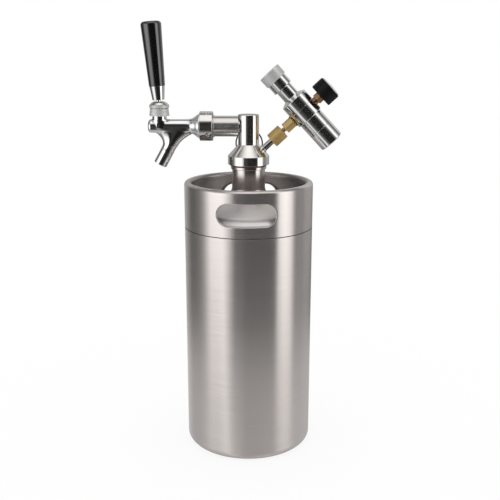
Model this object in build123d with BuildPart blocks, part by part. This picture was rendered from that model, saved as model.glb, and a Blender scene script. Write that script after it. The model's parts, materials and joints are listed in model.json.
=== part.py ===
from build123d import *
import math
import os

# Tapping head on a 5 litre mini keg. Millimetres, +Z up.
# The origin is the centre of the keg's standing ring. The tap faces -X, the gas side +X.

# ---------------------------------------------------------------- driving dimensions
# Keg
keg_r = 82.0
shell_t = 1.0
base_corner_r = 10.0
stand_ring_w = 10.0
base_dish_h = 9.0
base_dish_step = 6.0
base_dish_start_h = 4.0
seam_z = 293.6
seam_groove = 0.5
dome_foot_in = 2.4
dome_h = 42.4
dome_knuckle_r = 27.0
neck_r = 21.0
neck_bore_r = 19.0
neck_fillet_r = 10.0
neck_lip_r = 22.6
neck_lip_h = 3.6
neck_top_z = 370.2
thread_pitch = 3.0
thread_turns = 4
thread_depth = 0.5
thread_top_gap = 3.5

# Carry collar
rim_z = 351.0
collar_t = 1.2
rim_width = 9.6
rim_leg_h = 8.0
rim_round_r = 4.4
slot_z = 321.15
slot_w = 71.5
slot_h = 26.5
slot_flange_t = 1.3
slot_flange_depth = 4.6
slot_round_r = 1.9

# Head: gasket, collar, cone and post
gasket_t = 2.0
gasket_r = 23.0
head_collar_r = 26.1
head_collar_h = 10.8
head_collar_round_r = 0.8
head_cone_h = 14.0
post_r = 13.2
post_h = 37.3
post_round_r = 1.0
plug_len = 18.0
plug_clear = 0.3
plug_core_in = 1.1
seal_wire_r = 1.1
seal_from_end = 2.6
seal_groove_clear = 0.1
gas_annulus_r = 8.5
gas_annulus_h = 15.8
beer_channel_r = 3.5

# Dip tube
dip_r = 4.75
dip_wall = 0.8
dip_seat_len = 12.0
dip_floor_gap = 4.0
dip_cut_deg = 25.0

# Arm, nut and washer on the tap axis, as distances from the keg axis towards the tap
arm_h = 47.5
arm_r = 12.9
arm_spigot_r = 8.0
arm_spigot_in = 9.5
arm_shoulder_r = 13.6
arm_shoulder_w = 1.7
nut_start = 44.7
nut_len = 16.5
nut_r = 18.4
nut_wall = 1.8
nut_chamfer = 0.8
nut_hole_d = 5.0
nut_hole_depth = 2.4
nut_hole_from_back = 5.9
nut_hole_deg = 60.0
nut_hole_count = 4
arm_flange_w = 3.0
nut_thread_r = 15.6
washer_t = 1.0
washer_in = 1.2

# Faucet body, as distances along the tap axis
tap_cone_r = 15.0
tap_cone_rim_w = 0.8
tap_cone_waist_at = 6.0
tap_cone_waist_r = 9.3
tap_cone_waist_round_r = 10.0
tap_cone_len = 14.0
barrel_r = 8.3
barrel_end = 126.0
nose_round_r = 4.5
barrel_bore_r = 5.1
barrel_bore_end = 119.5
seat_start = 66.0
seat_len = 4.0
seat_bore_r = 4.0
rear_chamber_r = 6.2
spout_root_at = 94.0
spout_root_w = 40.0
spout_root_t = 13.0
spout_waist_at = 96.3
spout_waist_drop = 17.5
spout_waist_w = 25.2
spout_waist_t = 16.0
spout_elbow_at = 99.0
spout_elbow_drop = 24.3
spout_elbow_w = 17.4
spout_elbow_lean = 11.0
spout_len = 27.2
spout_r = 8.45
spout_bore_r = 6.6
spout_channel_r = 5.2
spout_lean = 29.0
spout_straight = 20.0

# Lever, bonnet and handle
ball_at = 111.7
ball_h = 22.5
ball_r = 5.5
lever_lean = 4.3
lever_travel = 18.0
rod_r = 2.6
stem_r = 1.6
stem_tip_r = 2.0
boss_r = 8.3
boss_foot_r = 9.5
boss_flare_h = 2.4
boss_wall = 2.6
bonnet_r = 12.6
bonnet_top_r = 11.7
bonnet_bottom = 12.6
bonnet_h = 9.4
ring_gap = 0.6
ring_groove_depth = 2.2
ring_r = 12.5
ring_h = 8.0
ring_chamfer_w = 2.8
ring_chamfer_h = 2.3
ring_mouth_r = 9.2
ring_throat_r = 5.25
ring_throat_h = 2.4
ball_seat_r = 4.4
ball_seat_t = 2.4
boss_lip = 2.6
ferrule_start = 9.8
ferrule_len = 17.1
ferrule_small_r = 5.1
ferrule_swell = 1.0
ferrule_swell_at = 4.3
ferrule_big_r = 9.7
ferrule_rim_w = 1.5
handle_len = 77.7
handle_foot_r = 10.0
handle_top_r = 12.9
handle_round_r = 4.0
rod_in_handle = 36.0

# Shaft inside the faucet
shaft_rod_r = 2.2
shaft_guide_len = 15.0
shaft_slot_half_w = 2.3
shaft_seal_r = 5.5
shaft_seal_t = 2.6
shaft_end_gap = 1.0
shaft_head_r = 4.5
shaft_head_w = 1.2

# Gas line: it rises from the head's cone at gas_lean above level
gas_lean = 43.0
gas_root_r = 17.37
gas_root_h = 17.89
gas_run = 71.0
pipe_r = 4.15
pipe_bore_r = 2.4
pipe_socket = 3.0
pipe_boss_r = 5.6
pipe_boss_len = 3.6
pipe_boss_round_r = 1.2

# Union nut and outlet fitting, as distances down the gas line from the regulator's centre
union_end = 54.2
union_start = 36.2
union_r = 9.35
union_wall = 2.2
union_thread_r = 7.5
union_chamfer = 0.5
tail_flange_r = 6.6
tail_flange_t = 1.7
tail_neck_r = 3.0
union_seal_t = 2.6
outlet_hex_start = 19.4
outlet_hex_len = 12.5
outlet_hex_af = 13.4
outlet_bore_r = 1.5
outlet_washer_r = 7.8
outlet_washer_t = 1.5
port_thread_r = 4.9
port_depth = 6.2

# Regulator, as distances from its centre along its own axis, + towards the knob
reg_r = 17.9
reg_bottom = -10.7
reg_joint = 5.6
reg_shoulder = 19.6
reg_cone_h = 4.0
reg_joint_chamfer = 0.35
reg_core_r = 12.9
reg_core_top = 18.4
reg_neck_r = 10.35
reg_neck_top = 38.4
spring_bore_r = 7.0
spring_bore_top = 33.0
passage_r = 1.2
passage_at = 11.3
knob_gap = 0.3
knob_collar_r = 12.9
knob_collar_len = 12.6
knob_grip_r = 14.45
knob_grip_len = 13.4
knob_round_r = 0.9
knob_crown_h = 0.5
screw_r = 4.0
screw_step = 0.6
screw_len = 15.0
holder_r = 15.75
holder_joint = -29.3
holder_end = -51.7
holder_chamfer = 1.0
holder_thread_r = 12.4
holder_thread_len = 8.2
adapter_spigot_r = 11.6
adapter_spigot_len = 6.0
cup_floor_t = 2.2
cup_floor_round_r = 4.0
cup_gap = 0.15

# Gas cartridge
cartridge_r = 9.3
cartridge_clear = 0.3
cartridge_shoulder = -4.3
cartridge_neck_start = 8.0
cartridge_neck_r = 4.0
cartridge_top = 16.2
cartridge_mouth_r = 1.1
cartridge_mouth_depth = 2.2
cartridge_foot_round_r = 5.0
cartridge_shoulder_round_r = 4.0
cartridge_neck_round_r = 3.0
pin_r = 0.7
pin_reach = 1.6
pin_point_len = 1.2
pin_hole_r = 0.6
pin_hole_count = 3
pin_plate_t = 1.4
cartridge_seal_t = 0.5

# Gauge, as distances up the gas line from the regulator's centre
gauge_thread_end = 20.5
gauge_hex_len = 6.2
gauge_hex_af = 12.6
gauge_r = 15.5
gauge_round_r = 1.0
gauge_len = 16.7
gauge_wall = 1.2
gauge_floor_t = 2.3
dial_ledge = 1.3
dial_depth = 4.4
dial_t = 0.6
lens_seat_t = 1.6
lens_proud = 2.2
lens_r = 13.6
lens_round_r = 1.0
needle_gap = 0.6
needle_t = 0.5
needle_len = 10.6
needle_tail = 3.4
needle_w = 1.1
needle_hub_r = 1.5
arbor_r = 0.7
arbor_len = 3.0

# Pressure relief valve on the back of the post
prv_h = 40.0
prv_boss_r = 6.8
prv_boss_proud = 1.0
prv_r = 6.0
prv_len = 9.8
prv_thread_r = 4.5
prv_thread_len = 4.0
prv_stem_r = 1.9
prv_stem_in = 9.0
prv_eye_gap = 0.6
prv_eye_r = 3.3
prv_eye_len = 7.8
prv_eye_bore_r = 1.4
prv_eye_round_r = 1.5
prv_eye_drop = 0.15
prv_ring_r = 17.0
prv_wire_r = 0.9
prv_gas_way_r = 1.4
prv_gas_way_y = 8.2

# Fits
running = 0.1
thread_fit = 0.05
loose = 0.3

# Broken edges, from the finest to the plainest
fine_edge = 0.3
small_edge = 0.4
plain_edge = 0.5
wide_edge = 0.6

# ---------------------------------------------------------------- places worked out from them
stand_ring_in_r = keg_r - base_corner_r - stand_ring_w
base_dish_r = stand_ring_in_r - base_dish_step
head_z = neck_top_z + gasket_t
cone_z = head_z + head_collar_h
post_z = cone_z + head_cone_h
post_top_z = post_z + post_h
tap_z = head_z + arm_h
dip_seat_z = neck_top_z + gas_annulus_h
plug_z = neck_top_z - plug_len
prv_y = post_r + prv_boss_proud
eye_y = prv_y + prv_len + prv_eye_gap + prv_eye_len / 2

gas_dir = Vector(math.cos(math.radians(gas_lean)), 0, math.sin(math.radians(gas_lean)))
knob_dir = Vector(-gas_dir.Z, 0, gas_dir.X)
gas_root = Vector(gas_root_r, 0, head_z + gas_root_h)
reg_centre = gas_root + gas_dir * gas_run
ball_centre = Vector(-ball_at, 0, tap_z + ball_h)
lever_dir = Vector(-math.sin(math.radians(lever_lean)), 0, math.cos(math.radians(lever_lean)))
spout_dir = Vector(-math.sin(math.radians(spout_lean)), 0, -math.cos(math.radians(spout_lean)))
spout_elbow = Vector(-spout_elbow_at, 0, tap_z - spout_elbow_drop)
spout_tip = spout_elbow + spout_dir * spout_len

side = Vector(0, 1, 0)
keg_axis = Plane(origin=(0, 0, 0), x_dir=(0, 0, 1), z_dir=side)
tap_axis = Plane(origin=(0, 0, tap_z), x_dir=(-1, 0, 0), z_dir=side)
gas_axis = Plane(origin=reg_centre, x_dir=gas_dir, z_dir=side)
knob_axis = Plane(origin=reg_centre, x_dir=knob_dir, z_dir=side)
lever_axis = Plane(origin=ball_centre, x_dir=lever_dir, z_dir=side)
bonnet_axis = Plane(origin=(-ball_at, 0, tap_z), x_dir=(0, 0, 1), z_dir=side)
spout_axis = Plane(origin=spout_tip, x_dir=-spout_dir, z_dir=side)
prv_axis = Plane(origin=(0, 0, head_z + prv_h), x_dir=(0, 1, 0), z_dir=(1, 0, 0))

os.makedirs("parts", exist_ok=True)


def turned(axis, *points, mode=Mode.ADD):
    """Revolve a closed profile about the plane's X axis.

    A point is (distance along the axis, radius), with an optional corner radius as a third value.
    """
    corner_radii = [point[2] if len(point) > 2 else 0 for point in points]
    with BuildSketch(axis) as profile:
        with BuildLine():
            FilletPolyline([point[:2] for point in points], radius=corner_radii, close=True)
        make_face()
    revolve(profile.sketch, axis=Axis(axis.origin, axis.x_dir), mode=mode)


def rod(axis, start, end, radius, mode=Mode.ADD):
    """A plain cylinder on the plane's X axis, from start to end."""
    turned(axis, (start, 0), (start, radius), (end, radius), (end, 0), mode=mode)


def bore(axis, start, end, radius):
    """A plain round hole on the plane's X axis, from start to end."""
    rod(axis, start, end, radius, mode=Mode.SUBTRACT)


def ring(axis, start, end, inner_r, outer_r, edge=0):
    """A plain washer on the plane's X axis, its outer edges chamfered if an edge is given."""
    turned(
        axis,
        (start, inner_r),
        (start, outer_r - edge),
        *([(start + edge, outer_r), (end - edge, outer_r)] if edge else []),
        (end, outer_r - edge),
        (end, inner_r),
    )


def hexagon(axis, start, end, across_flats):
    """A hexagonal bar on the plane's X axis."""
    foot = Plane(origin=axis.from_local_coords((start, 0, 0)), x_dir=side, z_dir=axis.x_dir)
    with BuildSketch(foot) as section:
        RegularPolygon(across_flats / 2, 6, major_radius=False)
    extrude(section.sketch, amount=end - start)


def save(part, name):
    """Label a finished sub-part and write its file."""
    part.label = name
    export_step(part, f"parts/{name}.step")


def shell_line(offset):
    """The keg's outline, from the neck down to the middle of the base, moved inwards by offset.

    The dome is torispherical: a knuckle at the foot, a wide crown and a fillet up into the neck.
    """
    tube_r = neck_bore_r if offset else neck_r
    foot_r = keg_r - dome_foot_in
    crown_r = (dome_h ** 2 - dome_knuckle_r ** 2 + (foot_r - dome_knuckle_r) ** 2) / (
        2 * (dome_h - dome_knuckle_r)
    )
    crown_z = seam_z + dome_h - crown_r
    flare_r = neck_fillet_r + offset
    flare_centre_r = tube_r + flare_r
    flare_z = crown_z + math.sqrt((crown_r - offset + flare_r) ** 2 - flare_centre_r ** 2)
    flare_turn = math.degrees(math.atan2(flare_z - crown_z, flare_centre_r))
    knuckle_turn = math.degrees(math.atan2(seam_z - crown_z, foot_r - dome_knuckle_r))
    Line((tube_r, neck_top_z), (tube_r, flare_z))
    CenterArc((flare_centre_r, flare_z), flare_r, 180, flare_turn)
    CenterArc((0, crown_z), crown_r - offset, knuckle_turn, flare_turn - knuckle_turn)
    CenterArc((foot_r - dome_knuckle_r, seam_z), dome_knuckle_r - offset, 0, knuckle_turn)
    foot_z = seam_z - (2 * dome_foot_in if offset else 0)
    Polyline((foot_r - offset, seam_z), (keg_r - offset, foot_z), (keg_r - offset, base_corner_r))
    CenterArc((keg_r - base_corner_r, base_corner_r), base_corner_r - offset, 270, 90)
    dish_rise = base_dish_h - base_dish_start_h
    dish_r = (base_dish_r ** 2 + dish_rise ** 2) / (2 * dish_rise)
    dish_turn = math.degrees(math.acos(base_dish_r / dish_r))
    Polyline(
        (keg_r - base_corner_r, offset),
        (stand_ring_in_r, offset),
        (base_dish_r, base_dish_start_h + offset),
    )
    CenterArc((0, base_dish_h + offset - dish_r), dish_r, dish_turn, 90 - dish_turn)


# ---------------------------------------------------------------- keg
with BuildPart() as keg_vessel:
    with BuildSketch(Plane.XZ):
        with BuildLine():
            shell_line(0)
            Line((0, base_dish_h), (0, neck_top_z))
            Line((0, neck_top_z), (neck_r, neck_top_z))
        make_face()
    revolve(axis=Axis.Z)
    ring(keg_axis, neck_top_z - neck_lip_h, neck_top_z, neck_bore_r, neck_lip_r, edge=wide_edge)
    with BuildSketch(Plane.XZ):
        with BuildLine():
            shell_line(shell_t)
            Line((0, base_dish_h + shell_t), (0, neck_top_z))
            Line((0, neck_top_z), (neck_bore_r, neck_top_z))
        make_face()
    revolve(axis=Axis.Z, mode=Mode.SUBTRACT)
    # Seam groove at the foot of the carry collar
    turned(
        keg_axis,
        (seam_z - seam_groove, keg_r + seam_groove),
        (seam_z - seam_groove, keg_r),
        (seam_z, keg_r - seam_groove),
        (seam_z, keg_r + seam_groove),
        mode=Mode.SUBTRACT,
    )
    # Internal thread roots in the neck
    for turn in range(thread_turns):
        root_z = neck_top_z - thread_top_gap - turn * thread_pitch
        turned(
            keg_axis,
            (root_z - thread_pitch / 2, neck_bore_r - thread_depth),
            (root_z - thread_pitch / 4, neck_bore_r + thread_depth),
            (root_z, neck_bore_r - thread_depth),
            mode=Mode.SUBTRACT,
        )
save(keg_vessel.part, "keg_vessel")

# The carry collar stands on the vessel's shoulder. Its rim is rolled inwards and down.
with BuildPart() as carry_collar:
    rim_in_r = keg_r - rim_width
    inner_round = rim_round_r - collar_t
    turned(
        keg_axis,
        (seam_z, keg_r - collar_t),
        (seam_z, keg_r - seam_groove),
        (seam_z + seam_groove, keg_r),
        (rim_z, keg_r, rim_round_r),
        (rim_z, rim_in_r, rim_round_r),
        (rim_z - rim_leg_h, rim_in_r),
        (rim_z - rim_leg_h, rim_in_r + collar_t),
        (rim_z - collar_t, rim_in_r + collar_t, inner_round),
        (rim_z - collar_t, keg_r - collar_t, inner_round),
    )
    # Two hand slots, front and back, with an inturned flange
    slot_plane = Plane(origin=(0, 0, slot_z), x_dir=(1, 0, 0), z_dir=(0, -1, 0))
    with BuildSketch(slot_plane):
        SlotOverall(slot_w + 2 * slot_flange_t, slot_h + 2 * slot_flange_t)
    extrude(amount=keg_r, both=True)
    turned(
        keg_axis,
        (seam_z + seam_groove, 0),
        (seam_z + seam_groove, keg_r - slot_flange_depth),
        (rim_z - rim_leg_h, keg_r - slot_flange_depth),
        (rim_z - rim_leg_h, 0),
        mode=Mode.SUBTRACT,
    )
    turned(
        keg_axis,
        (seam_z, keg_r),
        (seam_z, keg_r + slot_w),
        (rim_z, keg_r + slot_w),
        (rim_z, keg_r),
        mode=Mode.SUBTRACT,
    )
    with BuildSketch(slot_plane):
        SlotOverall(slot_w, slot_h)
    extrude(amount=keg_r, both=True, mode=Mode.SUBTRACT)
    slot_edges = [
        edge
        for edge in carry_collar.edges()
        if abs(math.hypot((edge @ 0.5).X, (edge @ 0.5).Y) - keg_r) < 0.05
        and abs((edge @ 0.5).X) < slot_w / 2 + 0.1
        and abs((edge @ 0.5).Z - slot_z) < slot_h / 2 + 0.1
    ]
    fillet(slot_edges, slot_round_r)
save(carry_collar.part, "carry_collar")

# ---------------------------------------------------------------- head, all on the keg's axis
with BuildPart() as head_gasket:
    ring(keg_axis, neck_top_z, head_z, neck_bore_r, gasket_r, edge=fine_edge)
save(head_gasket.part, "head_gasket")

plug_crest_r = neck_bore_r - plug_clear
plug_core_r = plug_crest_r - plug_core_in
seal_z = plug_z + seal_from_end
with BuildPart() as head_body:
    turned(
        keg_axis,
        (plug_z, 0),
        (plug_z, plug_crest_r, plain_edge),
        (seal_z + seal_from_end, plug_crest_r),
        (seal_z + seal_from_end, plug_core_r),
        (head_z, plug_core_r),
        (head_z, head_collar_r, head_collar_round_r / 2),
        (cone_z, head_collar_r, head_collar_round_r),
        (post_z, post_r),
        (post_top_z, post_r, post_round_r),
        (post_top_z, 0),
    )
    # External thread crests on the plug, a little in from the roots in the neck
    for turn in range(thread_turns):
        crest_z = neck_top_z - thread_top_gap - turn * thread_pitch
        ring(
            keg_axis,
            crest_z - thread_pitch / 2,
            crest_z,
            plug_core_r - plug_core_in,
            plug_crest_r,
            edge=thread_pitch / 6,
        )
    # Groove for the plug's ring seal
    ring_cut_r = plug_crest_r - 2 * seal_wire_r
    turned(
        keg_axis,
        (seal_z - seal_wire_r - seal_groove_clear, ring_cut_r),
        (seal_z - seal_wire_r - seal_groove_clear, neck_bore_r),
        (seal_z + seal_wire_r + seal_groove_clear, neck_bore_r),
        (seal_z + seal_wire_r + seal_groove_clear, ring_cut_r),
        mode=Mode.SUBTRACT,
    )
    # Boss for the gas pipe and seat for the relief valve
    turned(
        gas_axis,
        (-gas_run - pipe_boss_r, 0),
        (-gas_run - pipe_boss_r, pipe_boss_r),
        (-gas_run + pipe_boss_len, pipe_boss_r, pipe_boss_round_r),
        (-gas_run + pipe_boss_len, 0),
    )
    rod(prv_axis, prv_thread_len, prv_y, prv_boss_r)
    # Gas side: the ring space round the dip tube, the pipe's socket and way, the relief valve's way
    bore(keg_axis, plug_z, dip_seat_z, gas_annulus_r)
    bore(gas_axis, -gas_run - pipe_socket, -gas_run + pipe_boss_len, pipe_r + thread_fit)
    bore(gas_axis, -gas_run - pipe_socket - gas_root_r, -gas_run, pipe_bore_r)
    bore(prv_axis, prv_y - prv_thread_len - loose, prv_y, prv_thread_r + thread_fit)
    bore(Plane(origin=(0, prv_gas_way_y, 0), x_dir=(0, 0, 1), z_dir=side),
         dip_seat_z - prv_gas_way_r, head_z + prv_h, prv_gas_way_r)
    bore(prv_axis, prv_gas_way_y - prv_gas_way_r, prv_y, prv_stem_r + running)
    # Beer side: the dip tube's seat, the channel up the post and the arm's socket
    bore(keg_axis, dip_seat_z, dip_seat_z + dip_seat_len, dip_r + running)
    bore(keg_axis, dip_seat_z, tap_z, beer_channel_r)
    bore(tap_axis, 0, arm_spigot_in, beer_channel_r)
    bore(tap_axis, arm_spigot_in - loose, post_r, arm_spigot_r + thread_fit)
save(head_body.part, "head_body")

with BuildPart() as plug_seal:
    with Locations((0, 0, seal_z)):
        Torus(plug_crest_r - seal_wire_r, seal_wire_r)
save(plug_seal.part, "plug_seal")

# The dip tube's foot is cut on a slant, so that it can't seal itself on the base
dip_foot_z = base_dish_h + shell_t + dip_floor_gap
with BuildPart() as dip_tube:
    ring(keg_axis, dip_foot_z, dip_seat_z + dip_seat_len, dip_r - dip_wall, dip_r)
    foot_cut = Plane(origin=(dip_r, 0, dip_foot_z), z_dir=(-math.sin(math.radians(dip_cut_deg)), 0,
                                                          math.cos(math.radians(dip_cut_deg))))
    split(bisect_by=foot_cut, keep=Keep.TOP)
save(dip_tube.part, "dip_tube")

# ---------------------------------------------------------------- arm, nut and washer
arm_end = nut_start + nut_wall + loose + arm_flange_w
nut_end = nut_start + nut_len
with BuildPart() as arm_tube:
    turned(
        tap_axis,
        (0, 0),
        (0, arm_r),
        (nut_start - loose - arm_shoulder_w, arm_r),
        (nut_start - loose - arm_shoulder_w, arm_shoulder_r, small_edge),
        (nut_start - loose, arm_shoulder_r, small_edge),
        (nut_start - loose, arm_r),
        (arm_end - arm_flange_w, arm_r),
        (arm_end - arm_flange_w, nut_thread_r - loose),
        (arm_end, nut_thread_r - loose),
        (arm_end, 0),
    )
    bore(keg_axis, tap_z - 2 * arm_r, tap_z + 2 * arm_r, post_r + thread_fit)
    bore(prv_axis, 0, prv_y, prv_boss_r + thread_fit)
    rod(tap_axis, arm_spigot_in, post_r + arm_shoulder_w, arm_spigot_r)
    bore(tap_axis, arm_spigot_in, arm_end, beer_channel_r)
save(arm_tube.part, "arm_tube")

with BuildPart() as coupling_nut:
    ring(tap_axis, nut_start, nut_end, arm_r + running, nut_r, edge=nut_chamfer)
    bore(tap_axis, nut_start + nut_wall, nut_end, nut_thread_r)
    # Blind holes for a pin spanner
    for hole in range(nut_hole_count):
        turn_angle = math.radians(nut_hole_deg + hole * 360 / nut_hole_count)
        outwards = Vector(0, -math.cos(turn_angle), math.sin(turn_angle))
        hole_foot = tap_axis.from_local_coords((nut_start + nut_hole_from_back, 0, 0))
        with Locations(Plane(origin=hole_foot + outwards * (nut_r - nut_hole_depth / 2), z_dir=outwards)):
            Cylinder(nut_hole_d / 2, nut_hole_depth + 2 * loose, mode=Mode.SUBTRACT)
save(coupling_nut.part, "coupling_nut")

washer_end = arm_end + washer_t
with BuildPart() as coupling_washer:
    ring(tap_axis, arm_end, washer_end, beer_channel_r + washer_in, nut_thread_r - washer_in)
save(coupling_washer.part, "coupling_washer")

# ---------------------------------------------------------------- faucet
boss_top = bonnet_bottom + bonnet_h - ball_r + boss_lip
ball_seat_top = ball_h - math.sqrt(ball_r ** 2 - ball_seat_r ** 2) - running
ball_seat_bottom = ball_seat_top - ball_seat_t
lean_out = math.radians(lever_lean + lever_travel)
stem_len = ball_h / math.cos(math.radians(lever_lean))


def stem_at(depth):
    """How far in front of the ball's centre the rear of the swung stem is, at a depth below it."""
    return ball_at - depth * math.tan(lean_out) - stem_r / math.cos(lean_out) - loose


with BuildPart() as faucet_body:
    turned(
        tap_axis,
        (washer_end, 0),
        (washer_end, nut_thread_r - running),
        (nut_end, nut_thread_r - running),
        (nut_end, tap_cone_r),
        (nut_end + tap_cone_rim_w, tap_cone_r, plain_edge),
        (nut_end + tap_cone_waist_at, tap_cone_waist_r, tap_cone_waist_round_r),
        (nut_end + tap_cone_len, barrel_r, nose_round_r),
        (barrel_end, barrel_r, nose_round_r),
        (barrel_end, 0),
    )
    # Spout: a broad root under the barrel narrows to a leaning round pipe
    elbow_plane = Plane(origin=spout_elbow, x_dir=(math.cos(math.radians(spout_elbow_lean)), 0,
                                                   -math.sin(math.radians(spout_elbow_lean))),
                        z_dir=(math.sin(math.radians(spout_elbow_lean)), 0,
                               math.cos(math.radians(spout_elbow_lean))))
    straight_start = spout_tip - spout_dir * spout_straight
    with BuildSketch(Plane.XY.offset(tap_z - barrel_r * 0.6)):
        with Locations((-spout_root_at, 0)):
            Ellipse(spout_root_w / 2, spout_root_t / 2)
    with BuildSketch(Plane.XY.offset(tap_z - spout_waist_drop)):
        with Locations((-spout_waist_at, 0)):
            Ellipse(spout_waist_w / 2, spout_waist_t / 2)
    with BuildSketch(elbow_plane):
        Ellipse(spout_elbow_w / 2, spout_r)
    with BuildSketch(Plane(origin=straight_start, x_dir=(-spout_dir.Z, 0, spout_dir.X), z_dir=-spout_dir)):
        Circle(spout_r)
    loft()
    turned(spout_axis, (0, 0), (0, spout_r, wide_edge), (spout_straight, spout_r), (spout_straight, 0))
    # Boss that the lever's ball sits over
    turned(
        bonnet_axis,
        (0, 0),
        (0, boss_r),
        (barrel_r - boss_flare_h, boss_r),
        (barrel_r, boss_foot_r, plain_edge),
        (barrel_r + boss_flare_h, boss_r, boss_flare_h),
        (boss_top, boss_r),
        (boss_top, 0),
    )
    # Beer way: rear chamber, valve seat, barrel and spout
    bore(tap_axis, washer_end, seat_start, rear_chamber_r)
    bore(tap_axis, seat_start, seat_start + seat_len, seat_bore_r)
    bore(tap_axis, seat_start + seat_len, barrel_bore_end, barrel_bore_r)
    bore(spout_axis, 0, spout_straight, spout_bore_r)
    bore(spout_axis, spout_straight, spout_len + spout_elbow_drop, spout_channel_r)
    # Well for the lever's stem, and the seat of the ball's washer
    bore(bonnet_axis, ball_seat_bottom, boss_top + loose, boss_r - boss_wall)
    slot_front = ball_at + stem_r + loose
    with BuildSketch(tap_axis):
        Polygon(
            (slot_front, 0),
            (slot_front, ball_seat_bottom),
            (stem_at(ball_h - ball_seat_bottom), ball_seat_bottom),
            (stem_at(ball_h - barrel_bore_r), barrel_bore_r),
            (stem_at(ball_h - barrel_bore_r), 0),
            align=None,
        )
    extrude(amount=shaft_slot_half_w, both=True, mode=Mode.SUBTRACT)
save(faucet_body.part, "faucet_body")

# Shaft: a rubber-tipped rod that closes the seat from behind, with a slotted guide for the stem
stem_tip_at = ball_at - ball_h * math.tan(math.radians(lever_lean))
guide_end = barrel_bore_end - shaft_end_gap
seal_front = seat_start - running
with BuildPart() as faucet_shaft:
    turned(
        tap_axis,
        (seal_front - shaft_seal_t - shaft_head_w, 0),
        (seal_front - shaft_seal_t - shaft_head_w, shaft_head_r),
        (seal_front - shaft_seal_t, shaft_head_r),
        (seal_front - shaft_seal_t, shaft_rod_r),
        (guide_end - shaft_guide_len, shaft_rod_r),
        (guide_end - shaft_guide_len, barrel_bore_r - running, small_edge),
        (guide_end, barrel_bore_r - running, small_edge),
        (guide_end, 0),
    )
    slot_reach = barrel_bore_r * math.tan(lean_out) + stem_r
    with BuildSketch(Plane.XY.offset(tap_z - stem_tip_r - loose)):
        with Locations((-stem_tip_at - (slot_reach - stem_tip_r) / 2, 0)):
            Rectangle(slot_reach + stem_tip_r + 2 * loose, 2 * shaft_slot_half_w)
    extrude(amount=2 * barrel_bore_r, mode=Mode.SUBTRACT)
save(faucet_shaft.part, "faucet_shaft")

with BuildPart() as shaft_seal:
    ring(tap_axis, seal_front - shaft_seal_t, seal_front, shaft_rod_r, shaft_seal_r, edge=small_edge)
save(shaft_seal.part, "shaft_seal")

with BuildPart() as ball_washer:
    ring(bonnet_axis, ball_seat_bottom, ball_seat_top, ball_seat_r, boss_r - boss_wall - thread_fit)
save(ball_washer.part, "ball_washer")

bonnet_top = bonnet_bottom + bonnet_h
with BuildPart() as bonnet:
    turned(
        bonnet_axis,
        (bonnet_bottom, ball_r + loose),
        (bonnet_bottom, bonnet_r, plain_edge),
        (bonnet_top, bonnet_top_r, small_edge),
        (bonnet_top, ball_r + loose),
    )
    bore(bonnet_axis, bonnet_bottom, boss_top + running, boss_r + thread_fit)
save(bonnet.part, "bonnet")

# The upper ring holds the ball down, and its mouth opens like a funnel round the lever
with BuildPart() as bonnet_ring:
    ring_start = bonnet_top + ring_gap
    ring_top = ring_start + ring_h - ring_gap
    turned(
        bonnet_axis,
        (bonnet_top, ball_r + loose),
        (bonnet_top, ring_r - ring_groove_depth),
        (ring_start, ring_r - ring_groove_depth),
        (ring_start, ring_r, small_edge),
        (ring_top - ring_chamfer_h, ring_r),
        (ring_top, ring_r - ring_chamfer_w),
        (ring_top, ring_mouth_r),
        (ball_h + ring_throat_h, ring_throat_r),
        (ball_h + ring_throat_h / 2, ball_r + loose),
    )
save(bonnet_ring.part, "bonnet_ring")

# ---------------------------------------------------------------- lever and handle
ferrule_end = ferrule_start + ferrule_len
rod_end = ferrule_end + rod_in_handle
with BuildPart() as tap_lever:
    rod(lever_axis, -stem_len, 0, stem_r)
    rod(lever_axis, 0, rod_end, rod_r)
    with Locations(lever_axis.from_local_coords((0, 0, 0))):
        Sphere(ball_r)
    with Locations(lever_axis.from_local_coords((-stem_len, 0, 0))):
        Sphere(stem_tip_r)
save(tap_lever.part, "tap_lever")

with BuildPart() as ferrule:
    turned(
        lever_axis,
        (ferrule_start, 0),
        (ferrule_start, ferrule_small_r, plain_edge),
        (ferrule_start + ferrule_swell_at, ferrule_small_r + ferrule_swell),
        (ferrule_end - ferrule_rim_w, ferrule_big_r - small_edge),
        (ferrule_end, ferrule_big_r, small_edge),
        (ferrule_end, 0),
    )
    bore(lever_axis, ferrule_start, ferrule_end, rod_r + thread_fit)
save(ferrule.part, "ferrule")

handle_top = ferrule_end + handle_len
with BuildPart() as tap_handle:
    turned(
        lever_axis,
        (ferrule_end, 0),
        (ferrule_end, handle_foot_r, small_edge),
        (handle_top, handle_top_r, handle_round_r),
        (handle_top, 0),
    )
    bore(lever_axis, ferrule_end, rod_end + 1, rod_r + thread_fit)
save(tap_handle.part, "tap_handle")

# ---------------------------------------------------------------- gas pipe and union
tail_flange_back = -(union_start + union_wall + loose)
tail_flange_front = tail_flange_back - tail_flange_t
pipe_end = tail_flange_front - union_seal_t
with BuildPart() as gas_pipe:
    rod(gas_axis, -gas_run - pipe_socket, pipe_end, pipe_r)
    rod(gas_axis, -union_end + wide_edge, pipe_end, union_thread_r - running)
    bore(gas_axis, -gas_run - pipe_socket, pipe_end, pipe_bore_r)
save(gas_pipe.part, "gas_pipe")

with BuildPart() as union_nut:
    ring(gas_axis, -union_end, -union_start, tail_neck_r + running, union_r, edge=union_chamfer)
    bore(gas_axis, -union_end, -union_start - union_wall, union_thread_r)
save(union_nut.part, "union_nut")

with BuildPart() as union_seal:
    ring(gas_axis, pipe_end, tail_flange_front, pipe_bore_r, tail_flange_r)
save(union_seal.part, "union_seal")

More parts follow.
